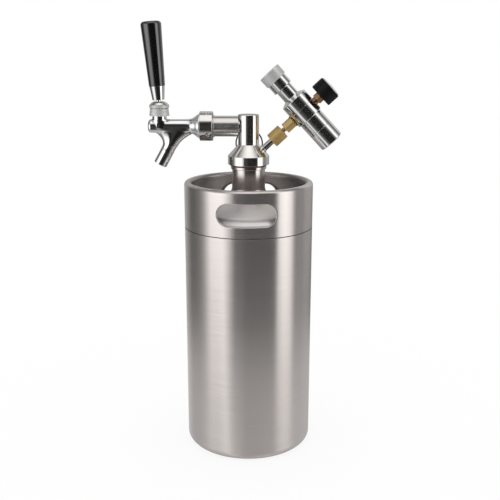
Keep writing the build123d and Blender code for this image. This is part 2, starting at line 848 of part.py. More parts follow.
with BuildPart() as outlet_fitting:
    turned(
        gas_axis,
        (tail_flange_front, 0),
        (tail_flange_front, tail_flange_r),
        (tail_flange_back, tail_flange_r),
        (tail_flange_back, tail_neck_r),
        (-outlet_hex_start, tail_neck_r),
        (-outlet_hex_start, port_thread_r),
        (-reg_r + port_depth, port_thread_r),
        (-reg_r + port_depth, 0),
    )
    hexagon(gas_axis, -outlet_hex_start - outlet_hex_len, -outlet_hex_start, outlet_hex_af)
    bore(gas_axis, tail_flange_front, -reg_r + port_depth, outlet_bore_r)
save(outlet_fitting.part, "outlet_fitting")

with BuildPart() as outlet_washer:
    ring(gas_axis, -outlet_hex_start, -outlet_hex_start + outlet_washer_t, port_thread_r + thread_fit,
         outlet_washer_r, edge=fine_edge)
save(outlet_washer.part, "outlet_washer")

# ---------------------------------------------------------------- regulator
cartridge_bore_r = cartridge_r + cartridge_clear
neck_bore_fit_r = cartridge_neck_r + cartridge_clear
with BuildPart() as regulator_body:
    turned(
        knob_axis,
        (reg_bottom, 0),
        (reg_bottom, reg_r, wide_edge),
        (reg_joint - reg_joint_chamfer, reg_r),
        (reg_joint, reg_r - reg_joint_chamfer),
        (reg_joint, reg_core_r),
        (reg_core_top, reg_core_r),
        (reg_core_top, 0),
    )
    # Flats for the outlet and the gauge, so that their faces seat
    for facing in (-1, 1):
        with BuildSketch(Plane(origin=gas_axis.from_local_coords((facing * (reg_r - 0.05), 0, 0)),
                               z_dir=gas_dir * facing)):
            Circle(outlet_washer_r + loose)
        extrude(amount=outlet_washer_t, mode=Mode.SUBTRACT)
        bore(gas_axis, facing * (reg_r - port_depth), facing * reg_r, port_thread_r + thread_fit)
    # Cartridge space, narrowing to the cartridge's neck, with the piercing plate above it
    turned(
        knob_axis,
        (reg_bottom, 0),
        (reg_bottom, adapter_spigot_r + thread_fit),
        (reg_bottom + adapter_spigot_len + loose, adapter_spigot_r + thread_fit),
        (reg_bottom + adapter_spigot_len + loose, cartridge_bore_r),
        (cartridge_shoulder + loose, cartridge_bore_r),
        (cartridge_neck_start + loose, neck_bore_fit_r),
        (reg_core_top, neck_bore_fit_r),
        (reg_core_top, 0),
        mode=Mode.SUBTRACT,
    )
    # Gas ways: the high side to the gauge, and from the spring side down to the outlet
    bore(gas_axis, neck_bore_fit_r, reg_r - port_depth, passage_r)
    bore(Plane(origin=gas_axis.from_local_coords((-passage_at, 0, 0)), x_dir=knob_dir, z_dir=side),
         -passage_r, reg_core_top, passage_r)
save(regulator_body.part, "regulator_body")

with BuildPart() as regulator_bonnet:
    turned(
        knob_axis,
        (reg_joint, 0),
        (reg_joint, reg_r - reg_joint_chamfer),
        (reg_joint + reg_joint_chamfer, reg_r),
        (reg_shoulder, reg_r, plain_edge),
        (reg_shoulder + reg_cone_h, reg_neck_r, plain_edge),
        (reg_neck_top, reg_neck_r, small_edge),
        (reg_neck_top, 0),
    )
    bore(knob_axis, reg_joint, reg_core_top + running, reg_core_r + thread_fit)
    bore(knob_axis, reg_core_top, spring_bore_top, spring_bore_r)
    bore(knob_axis, spring_bore_top, reg_neck_top, screw_r + running)
save(regulator_bonnet.part, "regulator_bonnet")

knob_start = reg_neck_top + knob_gap
knob_step = knob_start + knob_collar_len
knob_end = knob_step + knob_grip_len
with BuildPart() as regulator_knob:
    turned(
        knob_axis,
        (knob_start, 0),
        (knob_start, knob_collar_r, wide_edge),
        (knob_step, knob_collar_r),
        (knob_step, knob_grip_r, knob_round_r),
        (knob_end, knob_grip_r, knob_round_r),
        (knob_end + knob_crown_h, 0),
    )
    bore(knob_axis, knob_start, knob_step, screw_r - screw_step + thread_fit)
save(regulator_knob.part, "regulator_knob")

with BuildPart() as adjusting_screw:
    rod(knob_axis, knob_start - screw_len, knob_start, screw_r)
    rod(knob_axis, knob_start, knob_step, screw_r - screw_step)
save(adjusting_screw.part, "adjusting_screw")

with BuildPart() as piercing_pin:
    plate_start = cartridge_top + cartridge_seal_t
    rod(knob_axis, plate_start, plate_start + pin_plate_t, neck_bore_fit_r - thread_fit)
    turned(
        knob_axis,
        (cartridge_top - pin_reach, 0),
        (cartridge_top - pin_reach + pin_point_len, pin_r),
        (plate_start, pin_r),
        (plate_start, 0),
    )
    with Locations(Plane(origin=knob_axis.from_local_coords((plate_start, 0, 0)), z_dir=knob_dir)):
        with PolarLocations(neck_bore_fit_r / 2, pin_hole_count):
            Hole(pin_hole_r)
save(piercing_pin.part, "piercing_pin")

with BuildPart() as cartridge_seal:
    ring(knob_axis, cartridge_top, cartridge_top + cartridge_seal_t, cartridge_mouth_r,
         neck_bore_fit_r - thread_fit)
save(cartridge_seal.part, "cartridge_seal")

with BuildPart() as cartridge_adapter:
    turned(
        knob_axis,
        (holder_joint - holder_thread_len, cartridge_bore_r),
        (holder_joint - holder_thread_len, holder_thread_r, small_edge),
        (holder_joint, holder_thread_r),
        (holder_joint, holder_r),
        (reg_bottom, holder_r),
        (reg_bottom, adapter_spigot_r),
        (reg_bottom + adapter_spigot_len, adapter_spigot_r, small_edge),
        (reg_bottom + adapter_spigot_len, cartridge_bore_r),
    )
save(cartridge_adapter.part, "cartridge_adapter")

cartridge_foot = holder_end + cup_floor_t
with BuildPart() as cartridge_cup:
    turned(
        knob_axis,
        (holder_end, 0),
        (holder_end, holder_r - holder_chamfer),
        (holder_end + holder_chamfer, holder_r),
        (holder_joint - cup_gap, holder_r),
        (holder_joint - cup_gap, 0),
    )
    bore(knob_axis, holder_joint - holder_thread_len - loose, holder_joint, holder_thread_r + running)
    turned(
        knob_axis,
        (cartridge_foot, 0),
        (cartridge_foot, cartridge_bore_r, cup_floor_round_r),
        (holder_joint - holder_thread_len, cartridge_bore_r),
        (holder_joint - holder_thread_len, 0),
        mode=Mode.SUBTRACT,
    )
save(cartridge_cup.part, "cartridge_cup")

with BuildPart() as gas_cartridge:
    turned(
        knob_axis,
        (cartridge_foot, 0),
        (cartridge_foot, cartridge_r, cartridge_foot_round_r),
        (cartridge_shoulder, cartridge_r, cartridge_shoulder_round_r),
        (cartridge_neck_start, cartridge_neck_r, cartridge_neck_round_r),
        (cartridge_top, cartridge_neck_r, small_edge),
        (cartridge_top, 0),
    )
    bore(knob_axis, cartridge_top - cartridge_mouth_depth, cartridge_top, cartridge_mouth_r)
save(gas_cartridge.part, "gas_cartridge")

# ---------------------------------------------------------------- gauge
case_start = gauge_thread_end + gauge_hex_len
case_end = case_start + gauge_len
dial_seat = case_end - dial_depth
lens_seat = case_end - lens_seat_t
with BuildPart() as gauge_stem:
    rod(gas_axis, reg_r - port_depth, gauge_thread_end, port_thread_r)
    hexagon(gas_axis, gauge_thread_end, case_start, gauge_hex_af)
    bore(gas_axis, reg_r - port_depth, case_start, outlet_bore_r)
save(gauge_stem.part, "gauge_stem")

with BuildPart() as gauge_case:
    rod(gas_axis, case_start, case_end, gauge_r)
    fillet(gauge_case.edges().sort_by(Axis(gas_axis.origin, gas_axis.x_dir))[0], gauge_round_r)
    bore(gas_axis, case_start + gauge_floor_t, case_end, gauge_r - gauge_wall - dial_ledge)
    bore(gas_axis, dial_seat, case_end, gauge_r - gauge_wall)
save(gauge_case.part, "gauge_case")

with BuildPart() as gauge_dial:
    ring(gas_axis, dial_seat, dial_seat + dial_t, arbor_r + running, gauge_r - gauge_wall - running)
save(gauge_dial.part, "gauge_dial")

needle_at = dial_seat + dial_t + needle_gap
needle_plane = Plane(origin=gas_axis.from_local_coords((needle_at, 0, 0)), x_dir=side, z_dir=gas_dir)
with BuildPart() as gauge_needle:
    with BuildSketch(needle_plane):
        Polygon(
            (-needle_tail, needle_w / 2),
            (-needle_tail, -needle_w / 2),
            (needle_len, -needle_w / 8),
            (needle_len, needle_w / 8),
            align=None,
        )
    extrude(amount=needle_t)
    rod(gas_axis, needle_at - needle_gap / 2, needle_at + needle_t * 1.6, needle_hub_r)
    rod(gas_axis, needle_at - arbor_len, needle_at, arbor_r)
save(gauge_needle.part, "gauge_needle")

with BuildPart() as gauge_lens:
    turned(
        gas_axis,
        (lens_seat, 0),
        (lens_seat, gauge_r - gauge_wall - running),
        (case_end, gauge_r - gauge_wall - running),
        (case_end, lens_r),
        (case_end + lens_proud, lens_r - small_edge, lens_round_r),
        (case_end + lens_proud, 0),
    )
save(gauge_lens.part, "gauge_lens")

# ---------------------------------------------------------------- pressure relief valve
prv_end = prv_y + prv_len
with BuildPart() as prv_body:
    ring(prv_axis, prv_y, prv_end, prv_stem_r + running, prv_r, edge=wide_edge)
    rod(prv_axis, prv_y - prv_thread_len, prv_y, prv_thread_r)
    bore(prv_axis, prv_y - prv_thread_len, prv_end, prv_stem_r + running)
save(prv_body.part, "prv_body")

with BuildPart() as prv_stem:
    rod(prv_axis, prv_end - prv_stem_in, prv_end + prv_eye_gap, prv_stem_r)
    turned(
        prv_axis,
        (prv_end + prv_eye_gap, 0),
        (prv_end + prv_eye_gap, prv_eye_r, wide_edge),
        (prv_end + prv_eye_gap + prv_eye_len, prv_eye_r, prv_eye_round_r),
        (prv_end + prv_eye_gap + prv_eye_len, 0),
    )
    eye_axis = Plane(origin=(0, eye_y, head_z + prv_h - prv_eye_drop), x_dir=(1, 0, 0), z_dir=side)
    bore(eye_axis, -prv_eye_r, prv_eye_r, prv_eye_bore_r)
save(prv_stem.part, "prv_stem")

with BuildPart() as prv_ring:
    with Locations(Location((0, eye_y, head_z + prv_h - prv_ring_r), (90, 0, 0))):
        Torus(prv_ring_r, prv_wire_r)
save(prv_ring.part, "prv_ring")
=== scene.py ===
import json
import math

import bpy
import numpy as np
from mathutils import Matrix, Vector


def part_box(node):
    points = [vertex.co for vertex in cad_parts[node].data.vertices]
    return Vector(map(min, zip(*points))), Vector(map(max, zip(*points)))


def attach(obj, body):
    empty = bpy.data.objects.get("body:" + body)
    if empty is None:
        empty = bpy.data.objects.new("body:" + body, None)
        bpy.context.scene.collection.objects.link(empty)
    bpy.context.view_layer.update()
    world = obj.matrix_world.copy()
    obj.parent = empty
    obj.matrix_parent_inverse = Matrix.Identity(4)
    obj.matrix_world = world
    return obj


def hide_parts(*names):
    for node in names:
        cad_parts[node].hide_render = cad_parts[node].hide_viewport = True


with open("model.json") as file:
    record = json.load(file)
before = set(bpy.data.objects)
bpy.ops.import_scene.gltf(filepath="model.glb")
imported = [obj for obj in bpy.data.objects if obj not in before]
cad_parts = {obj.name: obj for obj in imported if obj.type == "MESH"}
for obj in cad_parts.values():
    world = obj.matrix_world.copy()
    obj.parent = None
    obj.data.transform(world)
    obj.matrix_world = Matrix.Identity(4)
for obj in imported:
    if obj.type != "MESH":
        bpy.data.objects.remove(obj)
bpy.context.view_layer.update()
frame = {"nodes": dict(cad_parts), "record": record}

# Lengths below are millimetres until they reach a mesh.
MM = 0.001
TURN = 2 * math.pi
record = frame["record"]
joints = {joint["name"]: joint for joint in record["behaviour"]["joints"]}
mounts = {mount["name"]: mount for mount in record["mounts"]}
slot_of = {part["node"]: part["material_slot"] for part in record["subparts"]}
body_of = {node: body for body, nodes in record["behaviour"]["bodies"].items() for node in nodes}


# ---- axes and sizes read from the frame
def axis_frame(origin_m, along, side=(0, 1, 0)):
    """A matrix whose X runs along an axis and whose Z is the given side direction, in millimetres."""
    x = Vector(along).normalized()
    z = Vector(side)
    z = (z - x * z.dot(x)).normalized()
    y = z.cross(x)
    matrix = Matrix((x, y, z)).transposed().to_4x4()
    matrix.translation = Vector(origin_m) / MM
    return matrix


def node_points(node):
    """A CAD node's vertices, in millimetres."""
    return np.array([v.co for v in frame["nodes"][node].data.vertices]) / MM


def moved(points, matrix):
    """Points carried by a matrix."""
    matrix = np.array(matrix)
    return np.asarray(points) @ matrix[:3, :3].T + matrix[:3, 3]


def span(node, axis):
    """Where a CAD node starts and ends along an axis, and its largest radius about it."""
    points = moved(node_points(node), axis.inverted())
    return points[:, 0].min(), points[:, 0].max(), np.hypot(points[:, 1], points[:, 2]).max()


tap_z = joints["coupling_nut_spin"]["pos_m"][2]
ball = joints["tap_lever"]["pos_m"]
gas_dir = Vector(joints["regulator_swivel"]["axis"])
knob_dir = Vector(joints["pressure_knob"]["axis"])
centre = joints["regulator_swivel"]["pos_m"]
handle_middle = Vector(node_points("tap_handle").mean(axis=0)) * MM

KEG = axis_frame((0, 0, 0), (0, 0, 1))
TAP = axis_frame((0, 0, tap_z), (-1, 0, 0))
BONNET = axis_frame((ball[0], 0, tap_z), (0, 0, 1))
LEVER = axis_frame(ball, handle_middle - Vector(ball))
spout = mounts["spout_outside"]
spout_down = Vector(spout["axis"]).normalized()
spout_mouth = Vector(spout["pos_m"]) + spout_down * spout["dims"]["length_mm"] / 2 * MM
SPOUT = axis_frame(spout_mouth, -spout_down)
GAS = axis_frame(centre, gas_dir)
KNOB = axis_frame(centre, knob_dir)
relief_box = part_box("prv_body")
RELIEF = axis_frame((0, 0, (relief_box[0][2] + relief_box[1][2]) / 2), (0, 1, 0), (1, 0, 0))


# ---- meshes
def new_object(name, vertices, faces, normals=None, axis=Matrix()):
    """A smooth mesh object from points on an axis, in millimetres. A zero normal is left to Blender."""
    mesh = bpy.data.meshes.new(name)
    mesh.from_pydata([tuple(p) for p in moved(vertices, axis) * MM], [], [list(f) for f in faces])
    mesh.validate()
    mesh.shade_smooth()
    if normals is not None:
        normals = np.asarray(normals) @ np.array(axis)[:3, :3].T
        mesh.normals_split_custom_set_from_vertices([tuple(n) for n in normals])
    obj = bpy.data.objects.new(name, mesh)
    bpy.context.scene.collection.objects.link(obj)
    return obj


def welded(vertices, faces, normals):
    """The same surface with points that share a place made one."""
    keys = np.round(np.asarray(vertices), 3) + 0.0
    _, first, which = np.unique(keys, axis=0, return_index=True, return_inverse=True)
    which = which.reshape(-1)
    kept = []
    for face in faces:
        loop = [which[v] for v in face]
        loop = [v for n, v in enumerate(loop) if v != loop[n - 1]]
        if len(set(loop)) > 2:
            kept.append(loop)
    return np.asarray(vertices)[first], kept, np.asarray(normals)[first]


def joined(name, *objects):
    """One object from several, keeping their normals."""
    with bpy.context.temp_override(active_object=objects[0], selected_editable_objects=list(objects)):
        bpy.ops.object.join()
    objects[0].name = name
    return objects[0]


def strip(low, high):
    """Faces between two closed rows of points. Points that a face has twice count once."""
    faces = []
    for i in range(len(low)):
        j = (i + 1) % len(low)
        quad = [low[i], low[j], high[j], high[i]]
        face = [v for n, v in enumerate(quad) if v not in quad[:n]]
        if len(face) > 2:
            faces.append(face)
    return faces


def arc(along, radius, size, start, end, steps=12):
    """Profile points on an arc about (along, radius). Angle 0 points away from the axis, 90 up along it."""
    angles = [math.radians(start + (end - start) * k / steps) for k in range(steps + 1)]
    return [(along + size * math.sin(angle), radius + size * math.cos(angle)) for angle in angles]


def even(start, end, radius, step):
    """Profile points at one radius, close enough together to carry a fine relief."""
    count = max(1, round(abs(end - start) / step))
    return [(start + (end - start) * k / count, radius) for k in range(count + 1)]


def rounded(corners, closed, steps=5, least=0.08):
    """Points and outward normals of a profile whose corners are rounded.

    A corner is (along, radius) or (along, radius, rounding). The profile runs so that the outside is on
    its left.
    """
    count = len(corners)
    points, normals = [], []
    for i, corner in enumerate(corners):
        here = np.array(corner[:2], float)
        before = np.array(corners[i - 1][:2], float)
        after = np.array(corners[(i + 1) % count][:2], float)
        if not closed and i in (0, count - 1):
            run = (after - here) if i == 0 else (here - before)
            run = run / np.linalg.norm(run)
            points.append(here)
            normals.append(np.array([-run[1], run[0]]))
            continue
        d_in, d_out = here - before, after - here
        len_in, len_out = np.linalg.norm(d_in), np.linalg.norm(d_out)
        d_in, d_out = d_in / len_in, d_out / len_out
        turn = math.atan2(d_in[0] * d_out[1] - d_in[1] * d_out[0], d_in @ d_out)
        if abs(turn) < 0.14 and len(corner) < 3:
            middle = d_in + d_out
            points.append(here)
            normals.append(np.array([-middle[1], middle[0]]) / np.linalg.norm(middle))
            continue
        want = corner[2] if len(corner) > 2 else least
        reach = min(want * math.tan(abs(turn) / 2), 0.49 * len_in, 0.49 * len_out)
        start = here - d_in * reach
        bend = 1 if turn > 0 else -1
        hub = start + bend * reach / math.tan(abs(turn) / 2) * np.array([-d_in[1], d_in[0]])
        for k in range(steps + 1):
            angle = turn * k / steps
            spin = np.array([[math.cos(angle), -math.sin(angle)], [math.sin(angle), math.cos(angle)]])
            points.append(hub + spin @ (start - hub))
            normals.append(spin @ np.array([-d_in[1], d_in[0]]))
    return np.array(points), np.array(normals)


def lathe(name, axis, corners, closed=False, segments=128, steps=5, relief=None):
    """A turned piece: the rounded profile goes round the axis. An open profile starts and ends on it.

    relief(angle, along, radius) gives what is added to the radius, such as a knurl.
    """
    profile, across = rounded(corners, closed, steps)
    angles = np.arange(segments) * TURN / segments
    vertices, normals, rings = [], [], []
    for (along, radius), (n_along, n_radius) in zip(profile, across):
        if radius < 1e-6:
            rings.append([len(vertices)] * segments)
            vertices.append((along, 0, 0))
            normals.append((math.copysign(1, n_along), 0, 0))
            continue
        rings.append(list(range(len(vertices), len(vertices) + segments)))
        for angle in angles:
            reach = radius + (relief(angle, along, radius) if relief else 0)
            vertices.append((along, reach * math.cos(angle), reach * math.sin(angle)))
            normals.append((n_along, n_radius * math.cos(angle), n_radius * math.sin(angle)))
    pairs = list(zip(rings, rings[1:])) + ([(rings[-1], rings[0])] if closed else [])
    faces = [face for low, high in pairs for face in strip(low, high)]
    return new_object(name, vertices, faces, None if relief else normals, axis)


KNURL_PITCH, KNURL_DEPTH = 1.0, 0.14


def diamond_knurl(around, start, end):
    """A relief of small pyramids between start and end along the axis, cut in from the full radius."""

    def relief(angle, along, radius):
        if not start < along < end:
            return 0
        turns, rise = angle * around / TURN, along / KNURL_PITCH
        slopes = [1 - abs(2 * ((turns + way * rise) % 1) - 1) for way in (-1, 1)]
        return -KNURL_DEPTH * (1 - min(slopes))

    return relief


HEX_POINTS, HEX_CORNER_SHARE = 96, 1.135
HEX_FACE_SHARE, HEX_FACE_ADD, HEX_CONE_SLOPE = 0.985, 0.1, 1.75


def hexagon(name, axis, start, end, across_flats):
    """A hexagonal bar whose corners are turned down to a cone at its ends, as on a machined nut."""
    flat = across_flats / 2
    angles = np.arange(HEX_POINTS) * TURN / HEX_POINTS
    swing = (angles + TURN / 12) % (TURN / 6) - TURN / 12
    corner = np.minimum(flat / np.cos(swing), flat * HEX_CORNER_SHARE)
    depth = [0, 0.15, 0.35, 0.6, 0.9, 1.3]
    vertices, rings = [(start, 0, 0)], [[0] * HEX_POINTS]
    for along in [start + d for d in depth] + [end - d for d in reversed(depth)]:
        limit = flat * HEX_FACE_SHARE + HEX_FACE_ADD + HEX_CONE_SLOPE * min(along - start, end - along)
        rings.append(list(range(len(vertices), len(vertices) + HEX_POINTS)))
        vertices += [(along, r * math.cos(a), r * math.sin(a)) for r, a in zip(np.minimum(corner, limit), angles)]
    rings.append([len(vertices)] * HEX_POINTS)
    vertices.append((end, 0, 0))
    faces = [face for low, high in zip(rings, rings[1:]) for face in strip(low, high)]
    obj = new_object(name, vertices, faces, axis=axis)
    obj.data.set_sharp_from_angle(angle=math.radians(28))
    return obj


def holed_wall(name, axis, radius, start, end, segments, holes, rest, inner=None, rows=14):
    """A round wall with shaped holes. The rest of its profile closes it from the wall's end to its start.

    A hole is (angle, along, half span, half length of its straight middle, corner radius, steps), where a
    step is (outline offset, radius). The last step joins the inner wall, or closes the hole if inner is None.
    """
    vertices, normals, faces = [], [], []
    alongs = np.linspace(start, end, rows + 1)
    step = TURN / segments
    whole_turn = [k * step for k in range(segments)]

    def put(points, size, out, lean=0.0, middle=0.0):
        """Points (angle, along) at one radius. Their normals point out by one share and along by another."""
        first = len(vertices)
        for angle, at in points:
            y, z = math.cos(middle + angle), math.sin(middle + angle)
            vertices.append((at, size * y, size * z))
            normals.append((lean, out * y, out * z))
        return list(range(first, len(vertices)))

    covered = set()
    for angle, along, half_span, straight, corner, hole_steps in holes:
        column = round(angle / step)
        middle = column * step
        reach = round(half_span / step)
        covered |= {(column + k) % segments for k in range(-reach, reach)}

        # The patch's border, then rings from it to the hole's outline, all as (across, along) on the wall
        border = [(k * step, start) for k in range(-reach, reach)]
        border += [(reach * step, a) for a in alongs[:-1]]
        border += [(k * step, end) for k in range(reach, -reach, -1)]
        border += [(-reach * step, a) for a in alongs[:0:-1]]

        def outline(offset, size):
            points = []
            for turn, a in border:
                across, up = size * math.sin(turn), a - along
                hub = max(-straight, min(straight, across))
                out = math.hypot(across - hub, up)
                scale = (corner + offset) / out
                points.append((math.asin((hub + (across - hub) * scale) / size), along + up * scale))
            return points

        def patch(hole_step, size, sign):
            edge, last = outline(*hole_step), None
            for k in range(9):
                share = (k / 8) ** 0.8
                loop = [(o[0] + (i[0] - o[0]) * share, o[1] + (i[1] - o[1]) * share)
                        for o, i in zip(border, edge)]
                ids = put(loop, size, sign, middle=middle)
                if last:
                    faces.extend(strip(last, ids) if sign > 0 else strip(ids, last))
                last = ids
            return last

        last = patch(hole_steps[0], radius, 1)
        for offset, size in hole_steps[1:]:
            ids = put(outline(offset, size), size, 0, middle=middle)
            faces.extend(strip(last, ids))
            last = ids
        if inner is None:
            edge = put([(0, along)], hole_steps[-1][1], 0, middle=middle) * len(last)
        else:
            edge = patch(hole_steps[-1], inner, -1)
        faces.extend(strip(last, edge))

    for size, sign in ((radius, 1),) + (((inner, -1),) if inner else ()):
        grid = [put([(t, a) for t in whole_turn], size, sign) for a in alongs]
        for low, high in zip(grid, grid[1:]):
            faces += [quad[::sign] for i, quad in enumerate(strip(low, high)) if i not in covered]

    for corners in rest:
        last = None
        for (a, r), (n_along, n_radius) in zip(*rounded(corners, False)):
            ids = put([(t, a) for t in whole_turn], r, n_radius, n_along)
            if last:
                faces += strip(last, ids)
            last = ids
    vertices, faces, normals = welded(vertices, faces, normals)
    return new_object(name, vertices, faces, normals, axis)


def isosurface(name, field, low, high, step):
    """A closed mesh where the field is zero, by surface nets moved onto the surface."""
    lines = [np.arange(a, b + step, step) for a, b in zip(low, high)]
    size = [len(line) for line in lines]
    grid = np.stack(np.meshgrid(*lines, indexing="ij"), axis=-1).reshape(-1, 3)
    inside = (field(grid) < 0).reshape(size)
    corners = sum(
        inside[i:size[0] - 1 + i, j:size[1] - 1 + j, k:size[2] - 1 + k].astype(int)
        for i in (0, 1) for j in (0, 1) for k in (0, 1)
    )
    mixed = (corners > 0) & (corners < 8)
    index = np.full(mixed.shape, -1)
    index[mixed] = np.arange(mixed.sum())
    points = np.array(low) + (np.argwhere(mixed) + 0.5) * step
    faces = []
    for d in range(3):
        a, b = (d + 1) % 3, (d + 2) % 3
        near, far = [slice(None)] * 3, [slice(None)] * 3
        near[d], far[d] = slice(0, -1), slice(1, None)
        first, second = inside[tuple(near)], inside[tuple(far)]
        where = np.argwhere(first != second)
        where = where[(where[:, a] > 0) & (where[:, b] > 0)
                      & (where[:, a] < size[a] - 1) & (where[:, b] < size[b] - 1)]
        along_a, along_b = np.eye(3, dtype=int)[a], np.eye(3, dtype=int)[b]
        cells = [where - along_a - along_b, where - along_b, where, where - along_a]
        quads = np.stack([index[tuple(cell.T)] for cell in cells], axis=1)
        turned_over = ~first[tuple(where.T)]
        quads[turned_over] = quads[turned_over][:, ::-1]
        faces.append(quads)
    small = 0.02

    def slope(at):
        rise = [field(at + small * e) - field(at - small * e) for e in np.eye(3)]
        return np.stack(rise, axis=1) / (2 * small)

    for _ in range(5):
        gradient = slope(points)
        steepness = np.maximum((gradient ** 2).sum(axis=1), 0.05)
        move = field(points)[:, None] * gradient / steepness[:, None]
        points = points - np.clip(move, -step, step)
    gradient = slope(points)
    normals = gradient / np.linalg.norm(gradient, axis=1)[:, None]
    return new_object(name, points, np.concatenate(faces).tolist(), normals)


def blend_union(a, b, k):
    """The nearer of two distances, with a fillet of about k where they meet."""
    h = np.maximum(k - np.abs(a - b), 0) / k
    return np.minimum(a, b) - h * h * k / 4


def blend_cut(a, b, k):
    """Distance a with the shape of distance b cut out of it."""
    return -blend_union(-a, b, k)


def capped(out, along, start, end, radius, edge):
    """Distance to a rod with rounded edges, from a point's place out of its axis and along it."""
    out = out - (radius - edge)
    past = np.abs(along - (start + end) / 2) - ((end - start) / 2 - edge)
    return np.hypot(np.maximum(out, 0), np.maximum(past, 0)) + np.minimum(np.maximum(out, past), 0) - edge


def capped_rod(points, axis, start, end, radius, edge, shrink=0.0, shrink_from=0.0):
    """Distance to a round rod on an axis, its edges rounded. It may get thinner past a place along it."""
    here = moved(points, axis.inverted())
    out = np.hypot(here[:, 1], here[:, 2]) + np.maximum(shrink * (here[:, 0] - shrink_from), 0)
    return capped(out, here[:, 0], start, end, radius, edge)


# ---- materials
class Graph:
    """Short calls for building nodes in a tree."""

    def __init__(self, tree):
        self.tree = tree

    def add(self, kind, inputs=None, **properties):
        node = self.tree.nodes.new(kind)
        for key, value in properties.items():
            setattr(node, key, value)
        for key, value in (inputs or {}).items():
            if isinstance(value, bpy.types.NodeSocket):
                self.tree.links.new(value, node.inputs[key])
            else:
                node.inputs[key].default_value = value
        return node

    def math(self, operation, *values):
        return self.add("ShaderNodeMath", dict(enumerate(values)), operation=operation).outputs[0]

    def remap(self, value, low, high, from_low=0.3, from_high=0.7):
        return self.add("ShaderNodeMapRange", {"Value": value, "From Min": from_low, "From Max": from_high,
                                               "To Min": low, "To Max": high}).outputs["Result"]

    def ramp(self, value, stops):
        """Half the brightness that the stops give, because a ramp's colours end at 1."""
        node = self.add("ShaderNodeValToRGB", {"Fac": value})
        elements = node.color_ramp.elements
        while len(elements) < len(stops):
            elements.new(0.5)
        for element, (at, level) in zip(elements, stops):
            element.position = at
            element.color = (level / 2, level / 2, level / 2, 1)
        return node.outputs["Color"]


class Nodes(Graph):
    """A material's nodes, from its shader back."""

    def __init__(self, name):
        self.material = bpy.data.materials.new(name)
        self.material.use_nodes = True
        super().__init__(self.material.node_tree)
        self.shader = self.tree.nodes["Principled BSDF"]
        self.place = self.add("ShaderNodeTexCoord").outputs["Object"]

    def set(self, **values):
        for key, value in values.items():
            socket = self.shader.inputs[key.replace("_", " ")]
            if isinstance(value, bpy.types.NodeSocket):
                self.tree.links.new(value, socket)
            else:
                socket.default_value = value

    def noise(self, scale, detail=2.0, stretch=(1, 1, 1), rough=0.5):
        """Noise whose features are about 1/scale metres, stretched along the axes."""
        scaled = self.add("ShaderNodeMapping", {"Vector": self.place, "Scale": [scale * s for s in stretch]})
        return self.add("ShaderNodeTexNoise", {"Vector": scaled.outputs[0], "Scale": 1.0, "Detail": detail,
                                               "Roughness": rough}).outputs["Fac"]

    def tint(self, value, dark, light, from_low=0.3, from_high=0.7):
        """A colour between two, by a value."""
        factor = self.remap(value, 0.0, 1.0, from_low, from_high)
        mix = self.add("ShaderNodeMix", {"Factor": factor}, data_type="RGBA")
        mix.inputs[6].default_value = (*dark, 1)
        mix.inputs[7].default_value = (*light, 1)
        return mix.outputs[2]

    def bump(self, height, distance, strength=1.0):
        return self.add("ShaderNodeBump", {"Height": height, "Distance": distance,
                                           "Strength": strength}).outputs["Normal"]


def metal(name, dark, light, roughness, streak=(1, 1, 1), streak_scale=900, bump=0.0, patch=25,
          anisotropic=0.0, around=None, drift=0.5, metallic=1.0):
    """Worked metal: fine tool lines that shift colour, gloss and height, over broad soft patches."""
    n = Nodes(name)
    lines = n.noise(streak_scale, 3, streak, 0.6)
    both = n.math("MULTIPLY_ADD", n.noise(patch, 2), drift, n.math("MULTIPLY", lines, 1 - drift))
    n.set(Base_Color=n.tint(both, dark, light, 0.38, 0.62), Metallic=metallic,
          Roughness=n.remap(both, roughness[0], roughness[1], 0.38, 0.62))
    if bump:
        n.set(Normal=n.bump(lines, bump))
    if anisotropic:
        n.set(Anisotropic=anisotropic, Anisotropic_Rotation=0.25)
        tangent = n.add("ShaderNodeTangent", direction_type="RADIAL", axis=around or "Z")
        n.set(Tangent=tangent.outputs[0])
    return n.material


AROUND_Z, ALONG_X = (0.012, 0.012, 1), (1, 0.02, 0.02)
# Dark and light colours that two finishes share
TURNED = (0.70, 0.675, 0.655), (0.78, 0.755, 0.735)
CHROME = (0.84, 0.835, 0.83), (0.88, 0.875, 0.87)
SATIN = (0.58, 0.58, 0.575), (0.68, 0.68, 0.675)
brushed = metal("brushed_steel", (0.65, 0.603, 0.58), (0.70, 0.65, 0.625), (0.20, 0.25), AROUND_Z,
                1300, 0.0, 14, 0.8, drift=0.25, metallic=0.9)
satin = metal("satin_steel", (0.80, 0.765, 0.75), (0.84, 0.80, 0.785), (0.32, 0.4), patch=30,
              streak_scale=1800, metallic=0.85)
# Painted shade: a near-black steel for the faces inside the seam's groove
seam_groove_shade = metal("seam_groove_shade", (0.13, 0.115, 0.105), (0.18, 0.16, 0.15), (0.45, 0.55), patch=20)
# Painted shade: a darker, rougher steel for the collar's inward faces
collar_inside_shade = metal("collar_inside_shade", (0.40, 0.37, 0.355), (0.44, 0.41, 0.395), (0.32, 0.38), AROUND_Z, 1500,
                    patch=8)
neck_steel = metal("neck_steel", (0.63, 0.59, 0.565), (0.69, 0.645, 0.62), (0.13, 0.17), AROUND_Z, 1300, 0.0,
                   14, 0.7, drift=0.3, metallic=0.97)
arm_steel = metal("arm_steel", *TURNED, (0.2, 0.26), ALONG_X,
                  1300, 0.0, 40, 0.9, "X", metallic=0.97)
polished = metal("polished_steel", (0.76, 0.735, 0.705), (0.82, 0.80, 0.775), (0.05, 0.09), AROUND_Z,
                 1500, 0.0000005, 30, metallic=0.985)
turned_steel = metal("turned_steel", *TURNED, (0.14, 0.20), ALONG_X,
                     1800, 0.000002, 40)
chrome = metal("chrome", *CHROME, (0.03, 0.06), patch=60)
gas_chrome = metal("gas_side_chrome", *CHROME, (0.03, 0.06), patch=60,
                   metallic=0.992)
